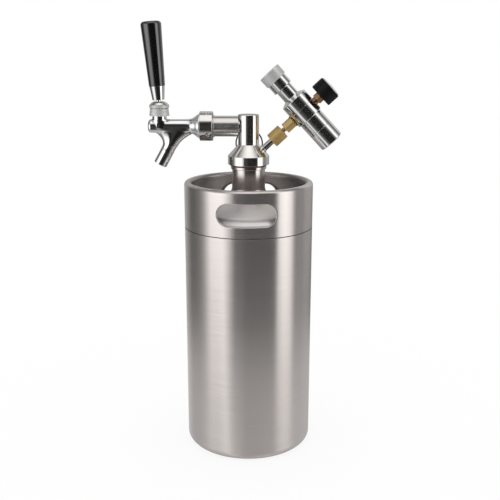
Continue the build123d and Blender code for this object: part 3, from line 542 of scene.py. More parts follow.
ring_satin = metal("ring_satin", *SATIN, (0.4, 0.5), patch=80,
                   streak_scale=1500, metallic=0.5)
knob_satin = metal("knob_satin", *SATIN, (0.36, 0.46), patch=80,
                   streak_scale=1500, metallic=0.55)
brass = metal("brass", (0.60, 0.42, 0.17), (0.70, 0.50, 0.22), (0.2, 0.3), patch=90, metallic=0.85)
copper_brass = metal("copper_brass", (0.38, 0.22, 0.11), (0.48, 0.29, 0.15), (0.2, 0.3), patch=90, metallic=0.9)
olive = metal("union_olive", (0.47, 0.32, 0.115), (0.56, 0.39, 0.15), (0.4, 0.5), patch=70,
              streak_scale=1400, metallic=0.5)


def plastic(name, dark, light, roughness, grain=600, bump=0.0, coat=0.0, patch=40, **more):
    """Moulded plastic or rubber: slight colour drift, with a fine grain in gloss and height."""
    n = Nodes(name)
    fine, broad = n.noise(grain, 3), n.noise(patch, 2)
    n.set(Base_Color=n.tint(broad, dark, light), Roughness=n.remap(fine, roughness[0], roughness[1]), **more)
    if coat:
        n.set(Coat_Weight=coat, Coat_Roughness=0.04)
    if bump:
        n.set(Normal=n.bump(fine, bump))
    return n.material


handle_black = plastic("handle_black", (0.003, 0.003, 0.0034), (0.006, 0.006, 0.0066), (0.10, 0.16), 300,
                       0.000002, coat=1.0, Specular_IOR_Level=0.9)
gauge_black = plastic("gauge_black", (0.003, 0.003, 0.0033), (0.006, 0.006, 0.0064), (0.4, 0.5), 1800,
                      0.000004, Specular_IOR_Level=0.22)
silicone = plastic("silicone", (0.12, 0.018, 0.014), (0.16, 0.026, 0.02), (0.4, 0.55), 900, 0.00001)
rubber = plastic("black_rubber", (0.012, 0.012, 0.012), (0.022, 0.022, 0.022), (0.5, 0.65), 900, 0.00001)
nylon = plastic("white_nylon", (0.72, 0.71, 0.68), (0.8, 0.79, 0.76), (0.35, 0.45), 700, 0.000006)
dial_white = plastic("dial_white", (0.78, 0.78, 0.76), (0.84, 0.84, 0.82), (0.4, 0.5), 500)
dial_ink = plastic("dial_ink", (0.012, 0.012, 0.014), (0.02, 0.02, 0.022), (0.45, 0.55), 500)
needle_red = plastic("needle_red", (0.42, 0.025, 0.018), (0.5, 0.035, 0.025), (0.3, 0.4), 500)
lens_clear = plastic("lens_clear", (0.97, 0.98, 0.98), (1.0, 1.0, 1.0), (0.01, 0.03), 60,
                     Transmission_Weight=1.0, IOR=1.49)
lens_edge = plastic("lens_edge", (0.55, 0.555, 0.56), (0.62, 0.625, 0.63), (0.2, 0.3), 400)

finish = {"brushed_steel": brushed, "polished_steel": polished, "chrome": chrome, "ring_satin": ring_satin,
          "knob_satin": knob_satin, "brass": brass, "washer_brass": olive, "silicone": silicone,
          "black_rubber": rubber, "white_nylon": nylon, "handle_black": handle_black,
          "gauge_black": gauge_black, "dial_white": dial_white, "lens": lens_clear}


def dress(piece, node, look=None):
    """The piece takes a CAD node's place, body, slot and material."""
    piece.data.materials.clear()
    piece.data.materials.append(look or finish[slot_of[node]])
    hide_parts(node)
    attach(piece, body_of[node])


def turned(node, axis, corners, name=None, look=None, **shape):
    """A turned piece that takes a CAD node's place. Its usual name is the node's with _skin."""
    dress(lathe(name or node + "_skin", axis, corners, **shape), node, look)


# ---- keg
_, neck_top, keg_r = span("keg_vessel", KEG)
seam_z, rim_z, _ = span("carry_collar", KEG)
SHELL_T = 1.0
BASE_CORNER = 10.0
STAND_RING_IN = 62.0
DISH_R, DISH_LOW, DISH_HIGH = 56.0, 4.0, 9.0
SEAM_GAP, SEAM_DEPTH = 0.9, 0.95
DOME_IN, DOME_H, DOME_KNUCKLE = 2.4, 42.4, 27.0
NECK_R, NECK_BORE, NECK_FLARE, NECK_FOOT_OUT = 21.0, 19.0, 11.5, 4
LIP_R, LIP_H = 22.6, 3.6


def shell(offset):
    """The vessel's line from the middle of its base up to its neck, moved inwards by offset."""
    tube = NECK_BORE if offset else NECK_R
    foot = keg_r - DOME_IN
    crown = (DOME_H ** 2 - DOME_KNUCKLE ** 2 + (foot - DOME_KNUCKLE) ** 2) / (2 * (DOME_H - DOME_KNUCKLE))
    crown_z = seam_z + DOME_H - crown
    flare = NECK_FLARE + offset
    flare_z = crown_z + math.sqrt((crown - offset + flare) ** 2 - (tube + flare) ** 2)
    flare_turn = math.degrees(math.atan2(flare_z - crown_z, tube + flare))
    knuckle_turn = math.degrees(math.atan2(seam_z - crown_z, foot - DOME_KNUCKLE))
    rise = DISH_HIGH - DISH_LOW
    dish = (DISH_R ** 2 + rise ** 2) / (2 * rise)
    dish_turn = math.degrees(math.acos(DISH_R / dish))
    line = arc(DISH_HIGH + offset - dish, 0, dish, 90, dish_turn, 10)
    line[0] = (DISH_HIGH + offset, 0)
    line += [(offset, STAND_RING_IN, 2)]
    line += arc(BASE_CORNER, keg_r - BASE_CORNER, BASE_CORNER - offset, -90, 0, 16)
    if not offset:
        line += [(seam_z - SEAM_GAP, keg_r, 0.15), (seam_z - SEAM_GAP, keg_r - SEAM_DEPTH),
                 (seam_z, keg_r - SEAM_DEPTH)]
    else:
        line += [(seam_z - 2 * DOME_IN, keg_r - offset)]
    line += arc(seam_z, foot - DOME_KNUCKLE, DOME_KNUCKLE - offset, 0, knuckle_turn, 14)
    line += arc(crown_z, 0, crown - offset, knuckle_turn, flare_turn, 24)[1:]
    line += arc(flare_z, tube + flare, flare, flare_turn - 180, -180, 12)[1:]
    return line


outside, inside = shell(0), shell(SHELL_T)
low_out, high_out = ([p for p in outside if (p[0] < seam_z) == low] for low in (True, False))
low_in, high_in = ([p for p in inside if (p[0] < seam_z) == low] for low in (True, False))
vessel = lathe("keg_vessel_skin", KEG, [
    *low_out, (seam_z, high_out[0][1]), (seam_z, high_in[0][1]), *reversed(low_in)], segments=256)
dress(vessel, "keg_vessel")
vessel.data.materials.append(seam_groove_shade)
# Painted shade: the faces inside the seam's groove are painted near-black, where shade falls in the recess
for polygon in vessel.data.polygons:
    x, y, z = polygon.center / MM
    if z > seam_z - SEAM_GAP - 0.05 and math.hypot(x, y) < keg_r - 0.2:
        polygon.material_index = 1
neck_foot = NECK_R + NECK_FOOT_OUT
dome_out, dome_in = ([p for p in line if p[1] > neck_foot] for line in (high_out, high_in))
neck_out, neck_in = ([p for p in line if p[1] <= neck_foot] for line in (high_out, high_in))
turned("keg_vessel", KEG, [*dome_out, neck_out[0], neck_in[0], *reversed(dome_in)], closed=True,
       segments=256, look=satin, name="keg_dome_skin")
turned("keg_vessel", KEG, [
    *neck_out,
    (neck_top - LIP_H, NECK_R), (neck_top - LIP_H, LIP_R, 0.5), (neck_top, LIP_R, 0.5), (neck_top, NECK_BORE, 0.3),
    *reversed(neck_in)], closed=True, segments=192, look=neck_steel, name="keg_neck_skin")

COLLAR_T, COLLAR_FOOT = 1.2, 0.2
RIM_WIDTH, RIM_LEG, RIM_ROUND = 9.6, 8.0, 4.4
SLOT_Z, SLOT_W, SLOT_H = 321.15, 71.5, 26.5
SLOT_T, SLOT_DEPTH, SLOT_ROUND = 1.3, 4.6, 1.9
rim_in = keg_r - RIM_WIDTH
wall_end = rim_z - RIM_ROUND
lip = [(SLOT_ROUND * (1 - math.sin(t)), keg_r - SLOT_ROUND * (1 - math.cos(t)))
       for t in np.linspace(0, math.pi / 2, 9)]
slot_steps = lip + [(0, keg_r - SLOT_DEPTH + 0.35), (0.1, keg_r - SLOT_DEPTH + 0.1),
                    (0.35, keg_r - SLOT_DEPTH), (SLOT_T - 0.35, keg_r - SLOT_DEPTH),
                    (SLOT_T - 0.1, keg_r - SLOT_DEPTH + 0.1), (SLOT_T, keg_r - SLOT_DEPTH + 0.35),
                    (SLOT_T, keg_r - COLLAR_T)]
hand_slots = [(TURN * share, SLOT_Z, math.radians(34.5), SLOT_W / 2 - SLOT_H / 2, SLOT_H / 2, slot_steps)
              for share in (0.25, 0.75)]
collar = holed_wall(
    "carry_collar_skin", KEG, keg_r, seam_z + COLLAR_FOOT, wall_end, 240, hand_slots, [
        arc(wall_end, keg_r - RIM_ROUND, RIM_ROUND, 0, 90, 10)
        + arc(wall_end, rim_in + RIM_ROUND, RIM_ROUND, 90, 180, 10)
        + [(rim_z - RIM_LEG, rim_in, 0.3), (rim_z - RIM_LEG, rim_in + COLLAR_T, 0.3)]
        + arc(wall_end, rim_in + RIM_ROUND, RIM_ROUND - COLLAR_T, 180, 90, 8)
        + arc(wall_end, keg_r - RIM_ROUND, RIM_ROUND - COLLAR_T, 90, 0, 8),
        [(seam_z + COLLAR_FOOT, keg_r - COLLAR_T), (seam_z, keg_r - COLLAR_T, 0.1),
         (seam_z, keg_r - COLLAR_FOOT, 0.05), (seam_z + COLLAR_FOOT, keg_r)],
    ], inner=keg_r - COLLAR_T)
dress(collar, "carry_collar")
# The faces that look inwards are rougher than the brushed outside, and painted darker as shade inside the collar's
# well
collar.data.materials.append(collar_inside_shade)
for polygon in collar.data.polygons:
    if polygon.normal.dot(Vector((polygon.center.x, polygon.center.y, 0)).normalized()) < -0.3:
        polygon.material_index = 1

# ---- gasket and head
gasket_low, head_z, gasket_r = span("head_gasket", KEG)
turned("head_gasket", KEG, [
    (gasket_low, NECK_BORE), (gasket_low, gasket_r, 0.5), (head_z, gasket_r, 0.5), (head_z, NECK_BORE)],
    closed=True, segments=192, name="head_gasket_ring")

plug_z, post_top, collar_r = span("head_body", KEG)
COLLAR_H, CONE_H, POST_R = 10.8, 14.0, 13.2
PLUG_R, PLUG_CORE = 18.7, 17.6
THREAD_PITCH = 3.0
cone_z = head_z + COLLAR_H


def plug_thread(angle, along, radius):
    """A coarse thread on the plug, below the collar."""
    if not plug_z + 5.6 < along < gasket_low - 2:
        return 0
    tooth = abs(2 * ((along / THREAD_PITCH - angle / TURN) % 1) - 1)
    return (PLUG_R - PLUG_CORE) * max(0, min(1, 1.7 * tooth - 0.35))


plug = lathe("head_plug", KEG, [
    (plug_z, 0), (plug_z, PLUG_R, 0.5), (plug_z + 1.4, PLUG_R, 0.2), (plug_z + 1.4, PLUG_CORE - 1, 0.2),
    (plug_z + 3.8, PLUG_CORE - 1, 0.2), (plug_z + 3.8, PLUG_R, 0.2), (plug_z + 5.2, PLUG_R, 0.2),
    *even(plug_z + 5.3, head_z - 1.5, PLUG_CORE, 0.2), (head_z + 2, PLUG_CORE), (head_z + 2, 0)],
    segments=192, relief=plug_thread)
head = lathe("head_turned", KEG, [
    (head_z, 0), (head_z, collar_r, 0.4), (cone_z, collar_r, 0.8), (cone_z + CONE_H, POST_R, 1.2),
    (post_top, POST_R, 1.0), (post_top, 0)], segments=192, steps=8)

pipe_low, pipe_high, union_thread_r = span("gas_pipe", GAS)
PIPE_R, PIPE_SOCKET, PIPE_END_GAP = 4.15, 3.0, 0.05
pipe_foot = pipe_low + PIPE_SOCKET
PIPE_BOSS_R, PIPE_BOSS_LEN = 5.6, 3.6
pipe_boss = lathe("pipe_boss", GAS, [
    (pipe_foot - PIPE_BOSS_R, 0), (pipe_foot - PIPE_BOSS_R, PIPE_BOSS_R - 0.6),
    (pipe_foot + 0.4, PIPE_BOSS_R - 0.3, 3), (pipe_foot + PIPE_BOSS_LEN, PIPE_BOSS_R - 0.9, 1.3),
    (pipe_foot + PIPE_BOSS_LEN, 0)], segments=96)
relief_low, relief_high, _ = span("prv_body", RELIEF)
relief_seat = relief_high - 9.8
relief_boss = lathe("relief_boss", RELIEF, [
    (4, 0), (4, 6.8), (relief_seat, 6.8, 0.4), (relief_seat, 0)], segments=96)
head = joined("head_body_skin", head, plug, pipe_boss, relief_boss)
dress(head, "head_body")

# ---- arm and coupling nut
arm_end = span("arm_tube", TAP)[1]
nut_start, nut_end, nut_r = span("coupling_nut", TAP)
ARM_R, SHOULDER_R, SHOULDER_W = 12.9, 13.6, 1.7
ARM_FROM, ARM_STUB_R = 12.4, 9.0
shoulder = nut_start - 0.3
turned("arm_tube", TAP, [
    (1, 0), (1, ARM_STUB_R), (ARM_FROM, ARM_STUB_R), (ARM_FROM, ARM_R, 0.5),
    (shoulder - SHOULDER_W, ARM_R, 0.3), (shoulder - SHOULDER_W, SHOULDER_R, 0.4),
    (shoulder, SHOULDER_R, 0.4), (shoulder, ARM_R), (arm_end - 3, ARM_R), (arm_end - 3, 15.2, 0.4),
    (arm_end, 15.2, 0.4), (arm_end, 0)], segments=160, look=arm_steel)

NUT_CHAMFER, NUT_HOLE_R, NUT_HOLE_DEPTH, NUT_HOLE_AT = 0.8, 2.5, 2.4, 5.9
hole_steps = [(0.35, nut_r), (0.1, nut_r - 0.12), (0, nut_r - 0.4), (0, nut_r - NUT_HOLE_DEPTH + 0.3),
              (-0.3, nut_r - NUT_HOLE_DEPTH), (-1.6, nut_r - NUT_HOLE_DEPTH)]
spanner_holes = [(math.radians(150 + 90 * k), nut_start + NUT_HOLE_AT, math.radians(15), 0, NUT_HOLE_R,
                  hole_steps) for k in range(4)]
nut = holed_wall(
    "coupling_nut_skin", TAP, nut_r, nut_start + NUT_CHAMFER, nut_end - NUT_CHAMFER, 144, spanner_holes, [
        [(nut_end - NUT_CHAMFER, nut_r), (nut_end, nut_r - NUT_CHAMFER, 0.3), (nut_end, 15.6, 0.3),
         (nut_start + 1.8, 15.6), (nut_start + 1.8, 13.0), (nut_start, 13.0),
         (nut_start, nut_r - NUT_CHAMFER, 0.3), (nut_start + NUT_CHAMFER, nut_r)],
    ], rows=12)
dress(nut, "coupling_nut")

# ---- faucet
BARREL_R, CONE_R, CONE_LEN, CONE_BEND, NOSE_ROUND = 8.3, 15.0, 6.6, 1.7, 4.0
barrel_end = span("faucet_body", TAP)[1]
spout_r = spout["dims"]["r_mm"]
spout_bore = mounts["spout_mouth"]["dims"]["r_mm"]
SPOUT_LEN, BOSS_R = 27.2, 9.0
ELBOW_AT, ELBOW_DROP, ELBOW_SOFT = 99.0, 24.3, 4.0
ROOT_RISE, ROOT_WIDEN, ROOT_LEAN = 19.5, 0.0511, 0.385
UNDER_SQUARE, CONE_GAP, CONE_STOP = 3.0, 0.8, 12
BORE_END, BORE_R, MOUTH_DEPTH, SEAT_GAP = 119.5, 5.7, 20, 0.15
STEM_WAY_T, STEM_WAY_FRONT, STEM_WAY_REAR, STEM_LEAN = 5.2, 2.3, 2.4, math.tan(math.radians(22.3))
tap_height = tap_z / MM


def faucet(points):
    """Distance to the faucet's cast body: barrel, cone behind it, broad root under it and spout."""
    at, up = -points[:, 0], points[:, 2] - tap_height
    out = np.hypot(points[:, 1], up)
    past = np.maximum(at - (nut_end + CONE_GAP), 1e-6) / CONE_LEN
    swell = (CONE_R - BARREL_R) * np.exp(-past ** CONE_BEND)
    steep = swell * CONE_BEND * past ** (CONE_BEND - 1) / CONE_LEN
    cone = (out - BARREL_R - swell) / np.sqrt(1 + steep ** 2)
    body = np.maximum(np.maximum(cone, at - barrel_end + CONE_STOP), nut_end - 2 - at)
    # The barrel is round above and flatter below, where its sides run straight into the root
    under = np.maximum(-up, 0)
    square = (np.abs(points[:, 1]) ** UNDER_SQUARE + under ** UNDER_SQUARE) ** (1 / UNDER_SQUARE)
    barrel = capped(np.where(up < 0, square, out), at, nut_end, barrel_end, BARREL_R, NOSE_ROUND)
    body = blend_union(body, barrel, 0.6)
    # The root's level sections are ellipses. It starts as the spout's own section and widens upwards
    rise = np.minimum(up + ELBOW_DROP + 0.4, ROOT_RISE)
    above = (rise + np.sqrt(rise ** 2 + ELBOW_SOFT ** 2)) / 2
    fall = -spout_down.x / -spout_down.z
    half = spout_r / -spout_down.z - 0.15 + 0.05 * above + ROOT_WIDEN * above ** 2
    deep = spout_r - (spout_r - BARREL_R + 0.15) * above / ROOT_RISE
    across = (at - (ELBOW_AT - 0.4 - fall * rise + (fall - ROOT_LEAN) * above)) / half
    side = points[:, 1] / deep
    level = np.hypot(across, side) + 1e-9
    pull = np.hypot(across / half, side / deep) + 1e-9
    # Each form gets thinner towards the end that lies inside another, so that no edge shows there
    root = level * (level - 1) / pull + 0.3 * np.maximum(up + 5, 0) + 0.15 * np.maximum(-rise, 0)
    root = np.maximum(np.maximum(root, up), -ELBOW_DROP - 12 - up)
    body = blend_union(body, root, 1.5)
    tube = capped_rod(points, SPOUT, 0, SPOUT_LEN + 4, spout_r, 0.6, 0.15, SPOUT_LEN - 8)
    body = blend_union(body, tube, 1.5)
    boss = capped_rod(points, BONNET, -2, bonnet_low + 1, BOSS_R, 0.4, -0.13, 8)
    body = blend_union(body, boss, 2.5)
    # Hollows: the spout's mouth, the shaft's bore, the way of the lever's stem and the ball's seat
    mouth = capped_rod(points, SPOUT, -4, MOUTH_DEPTH, spout_bore, 0.3)
    bore = capped(out, at, nut_end - 8, BORE_END, BORE_R, 0.3)
    ahead, depth = at + ball[0] / MM, (ball[2] - tap_z) / MM - up
    stem_way = np.maximum.reduce([np.abs(points[:, 1]) - STEM_WAY_T / 2, ahead - STEM_WAY_FRONT,
                                  -ahead - depth * STEM_LEAN - STEM_WAY_REAR, -up, up - seat_low - 1])
    seat = capped_rod(points, BONNET, seat_low - 0.1, bonnet_low + 6, seat_r + SEAT_GAP, 0.05)
    hollow = np.minimum(np.minimum(bore, stem_way), seat)
    return blend_cut(np.maximum(body, -hollow), mouth, 0.4)


bonnet_low, bonnet_high, bonnet_r = span("bonnet", BONNET)
seat_low, _, seat_r = span("ball_washer", BONNET)
faucet_body = isosurface(
    "faucet_body_skin", faucet, (-barrel_end - 2, -17, tap_height - 53), (-nut_end + 4, 17, tap_height + 18),
    0.5)
dress(faucet_body, "faucet_body")

BONNET_TOP_R, BONNET_BORE = 11.7, 5.8
count = round((bonnet_high - bonnet_low - 2) / 0.22)
bonnet_side = [(bonnet_low + 1 + (bonnet_high - bonnet_low - 2) * k / count,
                bonnet_r + (BONNET_TOP_R - bonnet_r) * (k / count)) for k in range(count + 1)]
turned("bonnet", BONNET, [
    (bonnet_low, BONNET_BORE), (bonnet_low, bonnet_r, 0.5), *bonnet_side, (bonnet_high, BONNET_TOP_R, 0.4),
    (bonnet_high, BONNET_BORE)], closed=True, segments=468,
    relief=diamond_knurl(78, bonnet_low + 1.1, bonnet_high - 1.1))

_, ring_high, ring_r = span("bonnet_ring", BONNET)
ring_low = bonnet_high
RING_GAP, RING_DOME_H, CROWN_R, MOUTH_R, THROAT_R = 0.6, 4.0, 7.4, 6.7, 5.25
throat = ball[2] / MM - tap_height + 2.4
ring_edge = ring_high - RING_DOME_H
bonnet_ring = lathe("bonnet_ring_band", BONNET, [
    (ring_low, BONNET_BORE), (ring_low, ring_r - 2.2), (ring_low + RING_GAP, ring_r - 2.2),
    (ring_low + RING_GAP, ring_r, 0.4), *even(ring_low + 1.4, ring_edge - 0.5, ring_r, 0.22),
    (ring_edge, ring_r, 0.5), (ring_edge, BONNET_BORE)], closed=True, segments=468,
    relief=diamond_knurl(78, ring_low + 1.5, ring_edge - 0.6))
turned("bonnet_ring", BONNET, [
    (ring_edge, BONNET_BORE), (ring_edge, ring_r - 0.15, 0.3), (ring_high - 1.0, 9.5, 1.5), (ring_high, CROWN_R, 0.3),
    (ring_high, MOUTH_R, 0.2), (throat, THROAT_R, 0.4), (throat - 1.2, BONNET_BORE)], closed=True,
    segments=160, look=turned_steel, name="bonnet_ring_crown")
dress(bonnet_ring, "bonnet_ring")

# ---- lever, ferrule and handle
stem_low, lever_high, ball_r = span("tap_lever", LEVER)
ROD_R, STEM_R, TIP_R = 2.6, 1.6, 2.0
ball_from = math.degrees(math.asin(STEM_R / ball_r))
ball_to = math.degrees(math.asin(ROD_R / ball_r))
turned("tap_lever", LEVER, [
    *arc(stem_low + TIP_R, 0, TIP_R, -90, 30, 8), (stem_low + 2 * TIP_R, STEM_R),
    *arc(0, 0, ball_r, -90 + ball_from, 90 - ball_to, 24), (lever_high, ROD_R), (lever_high, 0)], segments=64)

ferrule_low, ferrule_high, ferrule_r = span("ferrule", LEVER)
FERRULE_FOOT = 7.5
turned("ferrule", LEVER, [
    (ferrule_low, 2.7), (ferrule_low, FERRULE_FOOT, 0.5), (ferrule_high, ferrule_r, 0.4), (ferrule_high, 2.7)],
    closed=True, segments=128, steps=8)

handle_low, handle_high, _ = span("tap_handle", LEVER)
HANDLE_FOOT, HANDLE_TOP = 10.0, 12.9
turned("tap_handle", LEVER, [
    (handle_low, 0), (handle_low, HANDLE_FOOT, 0.4), (handle_high, HANDLE_TOP, 4.0), (handle_high, 0)],
    segments=160, steps=12)

# ---- gas pipe and union
union_low, union_high, union_r = span("union_nut", GAS)
turned("gas_pipe", GAS, [
    (pipe_low, 0), (pipe_low, PIPE_R), (union_low + 0.6, PIPE_R, 0.2), (union_low + 0.6, union_thread_r),
    (pipe_high - PIPE_END_GAP, union_thread_r), (pipe_high - PIPE_END_GAP, 0)], segments=96, name="gas_pipe_turned")

turned("union_nut", GAS, [
    (union_low, 4.4), (union_low, union_r, 0.5), (union_high, union_r, 0.5), (union_high, 3.1)], closed=True,
    segments=128, look=olive)

outlet_low, outlet_high, _ = span("outlet_fitting", GAS)
washer_low, washer_high, washer_r = span("outlet_washer", GAS)
OUTLET_HEX_LEN, OUTLET_AF = 12.5, 13.4
outlet_rod = lathe("outlet_rod", GAS, [
    (outlet_low, 0), (outlet_low, 6.6), (union_high - 2.5, 6.6), (union_high - 2.5, 3.0), (washer_low, 3.0),
    (washer_low, 4.9), (outlet_high, 4.9), (outlet_high, 0)], segments=64)
outlet_hex = hexagon("outlet_hex", GAS, washer_low - OUTLET_HEX_LEN, washer_low, OUTLET_AF)
outlet = joined("outlet_fitting_skin", outlet_rod, outlet_hex)
dress(outlet, "outlet_fitting")
turned("outlet_washer", GAS, [
    (washer_low, 5), (washer_low, washer_r, 0.3), (washer_high, washer_r, 0.3), (washer_high, 5)],
    closed=True, segments=96)

# ---- regulator
reg_low, _, reg_r = span("regulator_body", KNOB)
joint_at, neck_high, _ = span("regulator_bonnet", KNOB)
REG_CORE_R, REG_CORE_TOP, JOINT_CHAMFER, HOLDER_BORE = 12.9, 18.4, 0.5, 9.6
SHOULDER_AT, SHOULDER_CONE, REG_NECK_R = 19.6, 4.0, 10.35
turned("regulator_body", KNOB, [
    (reg_low, 11.7), (reg_low, reg_r, 1.0), (joint_at - JOINT_CHAMFER, reg_r), (joint_at, reg_r - JOINT_CHAMFER),
    (joint_at, REG_CORE_R), (REG_CORE_TOP, REG_CORE_R), (REG_CORE_TOP, 4.3), (-4, HOLDER_BORE)], closed=True,
    segments=192, look=gas_chrome)
turned("regulator_bonnet", KNOB, [
    (joint_at, 13), (joint_at, reg_r - JOINT_CHAMFER), (joint_at + JOINT_CHAMFER, reg_r),
    (SHOULDER_AT, reg_r, 0.6), (SHOULDER_AT + SHOULDER_CONE, REG_NECK_R, 0.6), (neck_high, REG_NECK_R, 0.4),
    (neck_high, 4.1), (REG_CORE_TOP + 0.2, 4.1), (REG_CORE_TOP + 0.2, 13)], closed=True,
    segments=192, look=gas_chrome)

knob_low, knob_high, knob_r = span("regulator_knob", KNOB)
KNOB_COLLAR_R, KNOB_COLLAR_LEN = 12.9, 12.6
knob_step = knob_low + KNOB_COLLAR_LEN
turned("regulator_knob", KNOB, [
    (knob_low, 3.5), (knob_low, KNOB_COLLAR_R, 0.6), (knob_step, KNOB_COLLAR_R, 0.1), (knob_step, 3.5)],
    closed=True, segments=160, look=gas_chrome, name="regulator_knob_collar")
turned("regulator_knob", KNOB, [
    (knob_step, 0), (knob_step, knob_r, 0.8), *even(knob_step + 1.2, knob_high - 1.9, knob_r, 0.25),
    (knob_high - 0.5, knob_r, 0.9), (knob_high, 0)],
    segments=540, relief=diamond_knurl(90, knob_step + 1.3, knob_high - 2.0), name="regulator_knob_grip")

adapter_low, adapter_high, holder_r = span("cartridge_adapter", KNOB)
cup_low, cup_high, _ = span("cartridge_cup", KNOB)
turned("cartridge_adapter", KNOB, [
    (adapter_low, HOLDER_BORE), (adapter_low, 12.4, 0.4), (cup_high + 0.15, 12.4), (cup_high + 0.15, holder_r, 0.25),
    (reg_low, holder_r, 0.25), (reg_low, 11.6), (adapter_high, 11.6), (adapter_high, HOLDER_BORE)], closed=True,
    segments=192, look=gas_chrome)
CUP_CHAMFER = 1.0
turned("cartridge_cup", KNOB, [
    (cup_low, 0), (cup_low, holder_r - CUP_CHAMFER, 0.3), (cup_low + CUP_CHAMFER, holder_r, 0.3),
    (cup_high, holder_r, 0.25), (cup_high, 12.5), (adapter_low - 0.3, 12.5), (adapter_low - 0.3, HOLDER_BORE),
    (cup_low + 2.2, HOLDER_BORE, 4), (cup_low + 2.2, 0)], segments=192, look=gas_chrome)
cartridge_low, cartridge_high, cartridge_r = span("gas_cartridge", KNOB)
turned("gas_cartridge", KNOB, [
    (cartridge_low, 0), (cartridge_low, cartridge_r, 5), (-4.3, cartridge_r, 4), (8, 4, 3),
    (cartridge_high, 4, 0.4), (cartridge_high, 0)], segments=96, steps=10)

# ---- gauge
stem_foot, case_low, _ = span("gauge_stem", GAS)
_, case_high, gauge_r = span("gauge_case", GAS)
GAUGE_HEX_LEN, GAUGE_AF = 6.2, 12.6
gauge_rod = lathe("gauge_rod", GAS, [
    (stem_foot, 0), (stem_foot, 4.9), (case_low - 1, 4.9), (case_low - 1, 0)], segments=64)
gauge_hex = hexagon("gauge_hex", GAS, case_low - GAUGE_HEX_LEN, case_low, GAUGE_AF)
gauge_stem = joined("gauge_stem_skin", gauge_rod, gauge_hex)
dress(gauge_stem, "gauge_stem", copper_brass)

dial_low, dial_high, dial_r = span("gauge_dial", GAS)
turned("gauge_case", GAS, [
    (case_low, 0), (case_low, gauge_r, 1.6), (case_high - 1.2, gauge_r, 0.3), (case_high, gauge_r - 0.5, 0.4),
    (case_high, gauge_r - 1.2, 0.3), (dial_low, gauge_r - 1.2), (dial_low, gauge_r - 2.5),
    (case_low + 2.3, gauge_r - 2.5), (case_low + 2.3, 0)], segments=160, steps=7)

turned("gauge_dial", GAS, [
    (dial_low, 0.8), (dial_low, dial_r), (dial_high, dial_r), (dial_high, 0.8)], closed=True, segments=96,
    name="gauge_dial_face")

lens_low, lens_high, lens_r = span("gauge_lens", GAS)
turned("gauge_lens", GAS, [
    (lens_low, 0), (lens_low, lens_r, 0.2), (case_high, lens_r, 0.1), (case_high, 12.4, 0.1),
    (lens_high - 0.6, 12.2, 0.6), (lens_high, 0)], segments=160, steps=8, name="gauge_lens_dome")
turned("gauge_lens", GAS, [
    (case_high, 12.5), (case_high, 14.2, 0.2), (lens_high - 0.7, 13.4, 0.5), (lens_high - 0.7, 12.5, 0.2)],
    closed=True, segments=160, look=lens_edge, name="gauge_lens_rim")

# Dial marks: a scale of plain numbers over 270 degrees, on the face seen along -GAS
DIAL_SWEEP, DIAL_MAX, MARK_R = 270.0, 6, 12.2
face = dial_high + 0.02


def dial_place(share, radius):
    """A place on the dial for a share of the scale, as (across, up) seen from outside."""
    angle = math.radians(90 + DIAL_SWEEP / 2 - share * DIAL_SWEEP)
    return radius * math.cos(angle), radius * math.sin(angle)


# Seen from outside, the dial's up is towards the knob, and its right follows from that
dial_up = knob_dir.normalized()
dial_right = dial_up.cross(gas_dir).normalized()
DIAL = Matrix((dial_right, dial_up, gas_dir)).transposed().to_4x4()
DIAL.translation = Vector(centre) / MM + gas_dir * face
marks, mark_faces = [], []
for tick in range(DIAL_MAX * 5 + 1):
    long_tick = tick % 5 == 0
    near, wide = (9.9, 0.26) if long_tick else (11.1, 0.14)
    x, y = dial_place(tick / (DIAL_MAX * 5), 1)
    for r, s in ((near, -1), (near, 1), (MARK_R, 1), (MARK_R, -1)):
        marks.append((x * r - y * s * wide, y * r + x * s * wide, 0))
    n = len(marks)
    mark_faces.append([n - 4, n - 1, n - 2, n - 3])
ink = [new_object("dial_ticks", marks, mark_faces, axis=DIAL)]
for number in range(DIAL_MAX + 1):
    curve = bpy.data.curves.new(f"number_{number}", "FONT")
    curve.body = str(number)
    curve.size = 3.4
    curve.align_x, curve.align_y = "CENTER", "CENTER"
    text = bpy.data.objects.new("number", curve)
    bpy.context.scene.collection.objects.link(text)
    bpy.context.view_layer.update()
    mesh = bpy.data.meshes.new_from_object(text)
    bpy.data.objects.remove(text)
    x, y = dial_place(number / DIAL_MAX, 7.6)
    mesh.transform(Matrix.Scale(MM, 4) @ DIAL @ Matrix.Translation((x, y, 0)))
    number_mesh = bpy.data.objects.new(f"dial_number_{number}", mesh)
    bpy.context.scene.collection.objects.link(number_mesh)
    ink.append(number_mesh)
ink = joined("dial_marks", *ink)
ink.data.materials.clear()
ink.data.materials.append(dial_ink)
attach(ink, body_of["gauge_dial"])

# ---- relief valve
relief = joined(
    "prv_body_skin",
    lathe("relief_collar", RELIEF, [
        (relief_low, 0), (relief_low, 4.5), (relief_seat, 4.5), (relief_seat, 6.0, 0.4), (relief_seat + 2, 6.0, 0.3),
        (relief_seat + 2, 5.0), (relief_high - 2.4, 5.0), (relief_high - 2.4, 5.8, 0.3), (relief_high, 5.8, 0.5),
        (relief_high, 2.0), (relief_high - 1, 2.0), (relief_high - 1, 0)], segments=96),
    hexagon("relief_hex", RELIEF, relief_seat + 2, relief_high - 2.4, 10.3))
dress(relief, "prv_body")


def torus(name, hub, radius, wire, around=128, across=20):
    """A ring of round wire that stands across the Y axis."""
    vertices, normals = [], []
    for i in range(around):
        t = TURN * i / around
        out = np.array([math.cos(t), 0, math.sin(t)])
        for k in range(across):
            s = TURN * k / across
            normal = out * math.cos(s) + np.array([0, math.sin(s), 0])
            vertices.append(np.array(hub) + out * radius + normal * wire)
            normals.append(normal)
    rings = [list(range(i * across, (i + 1) * across)) for i in range(around)]
    faces = [face for i in range(around) for face in strip(rings[(i + 1) % around], rings[i])]
    return new_object(name, vertices, faces, normals)


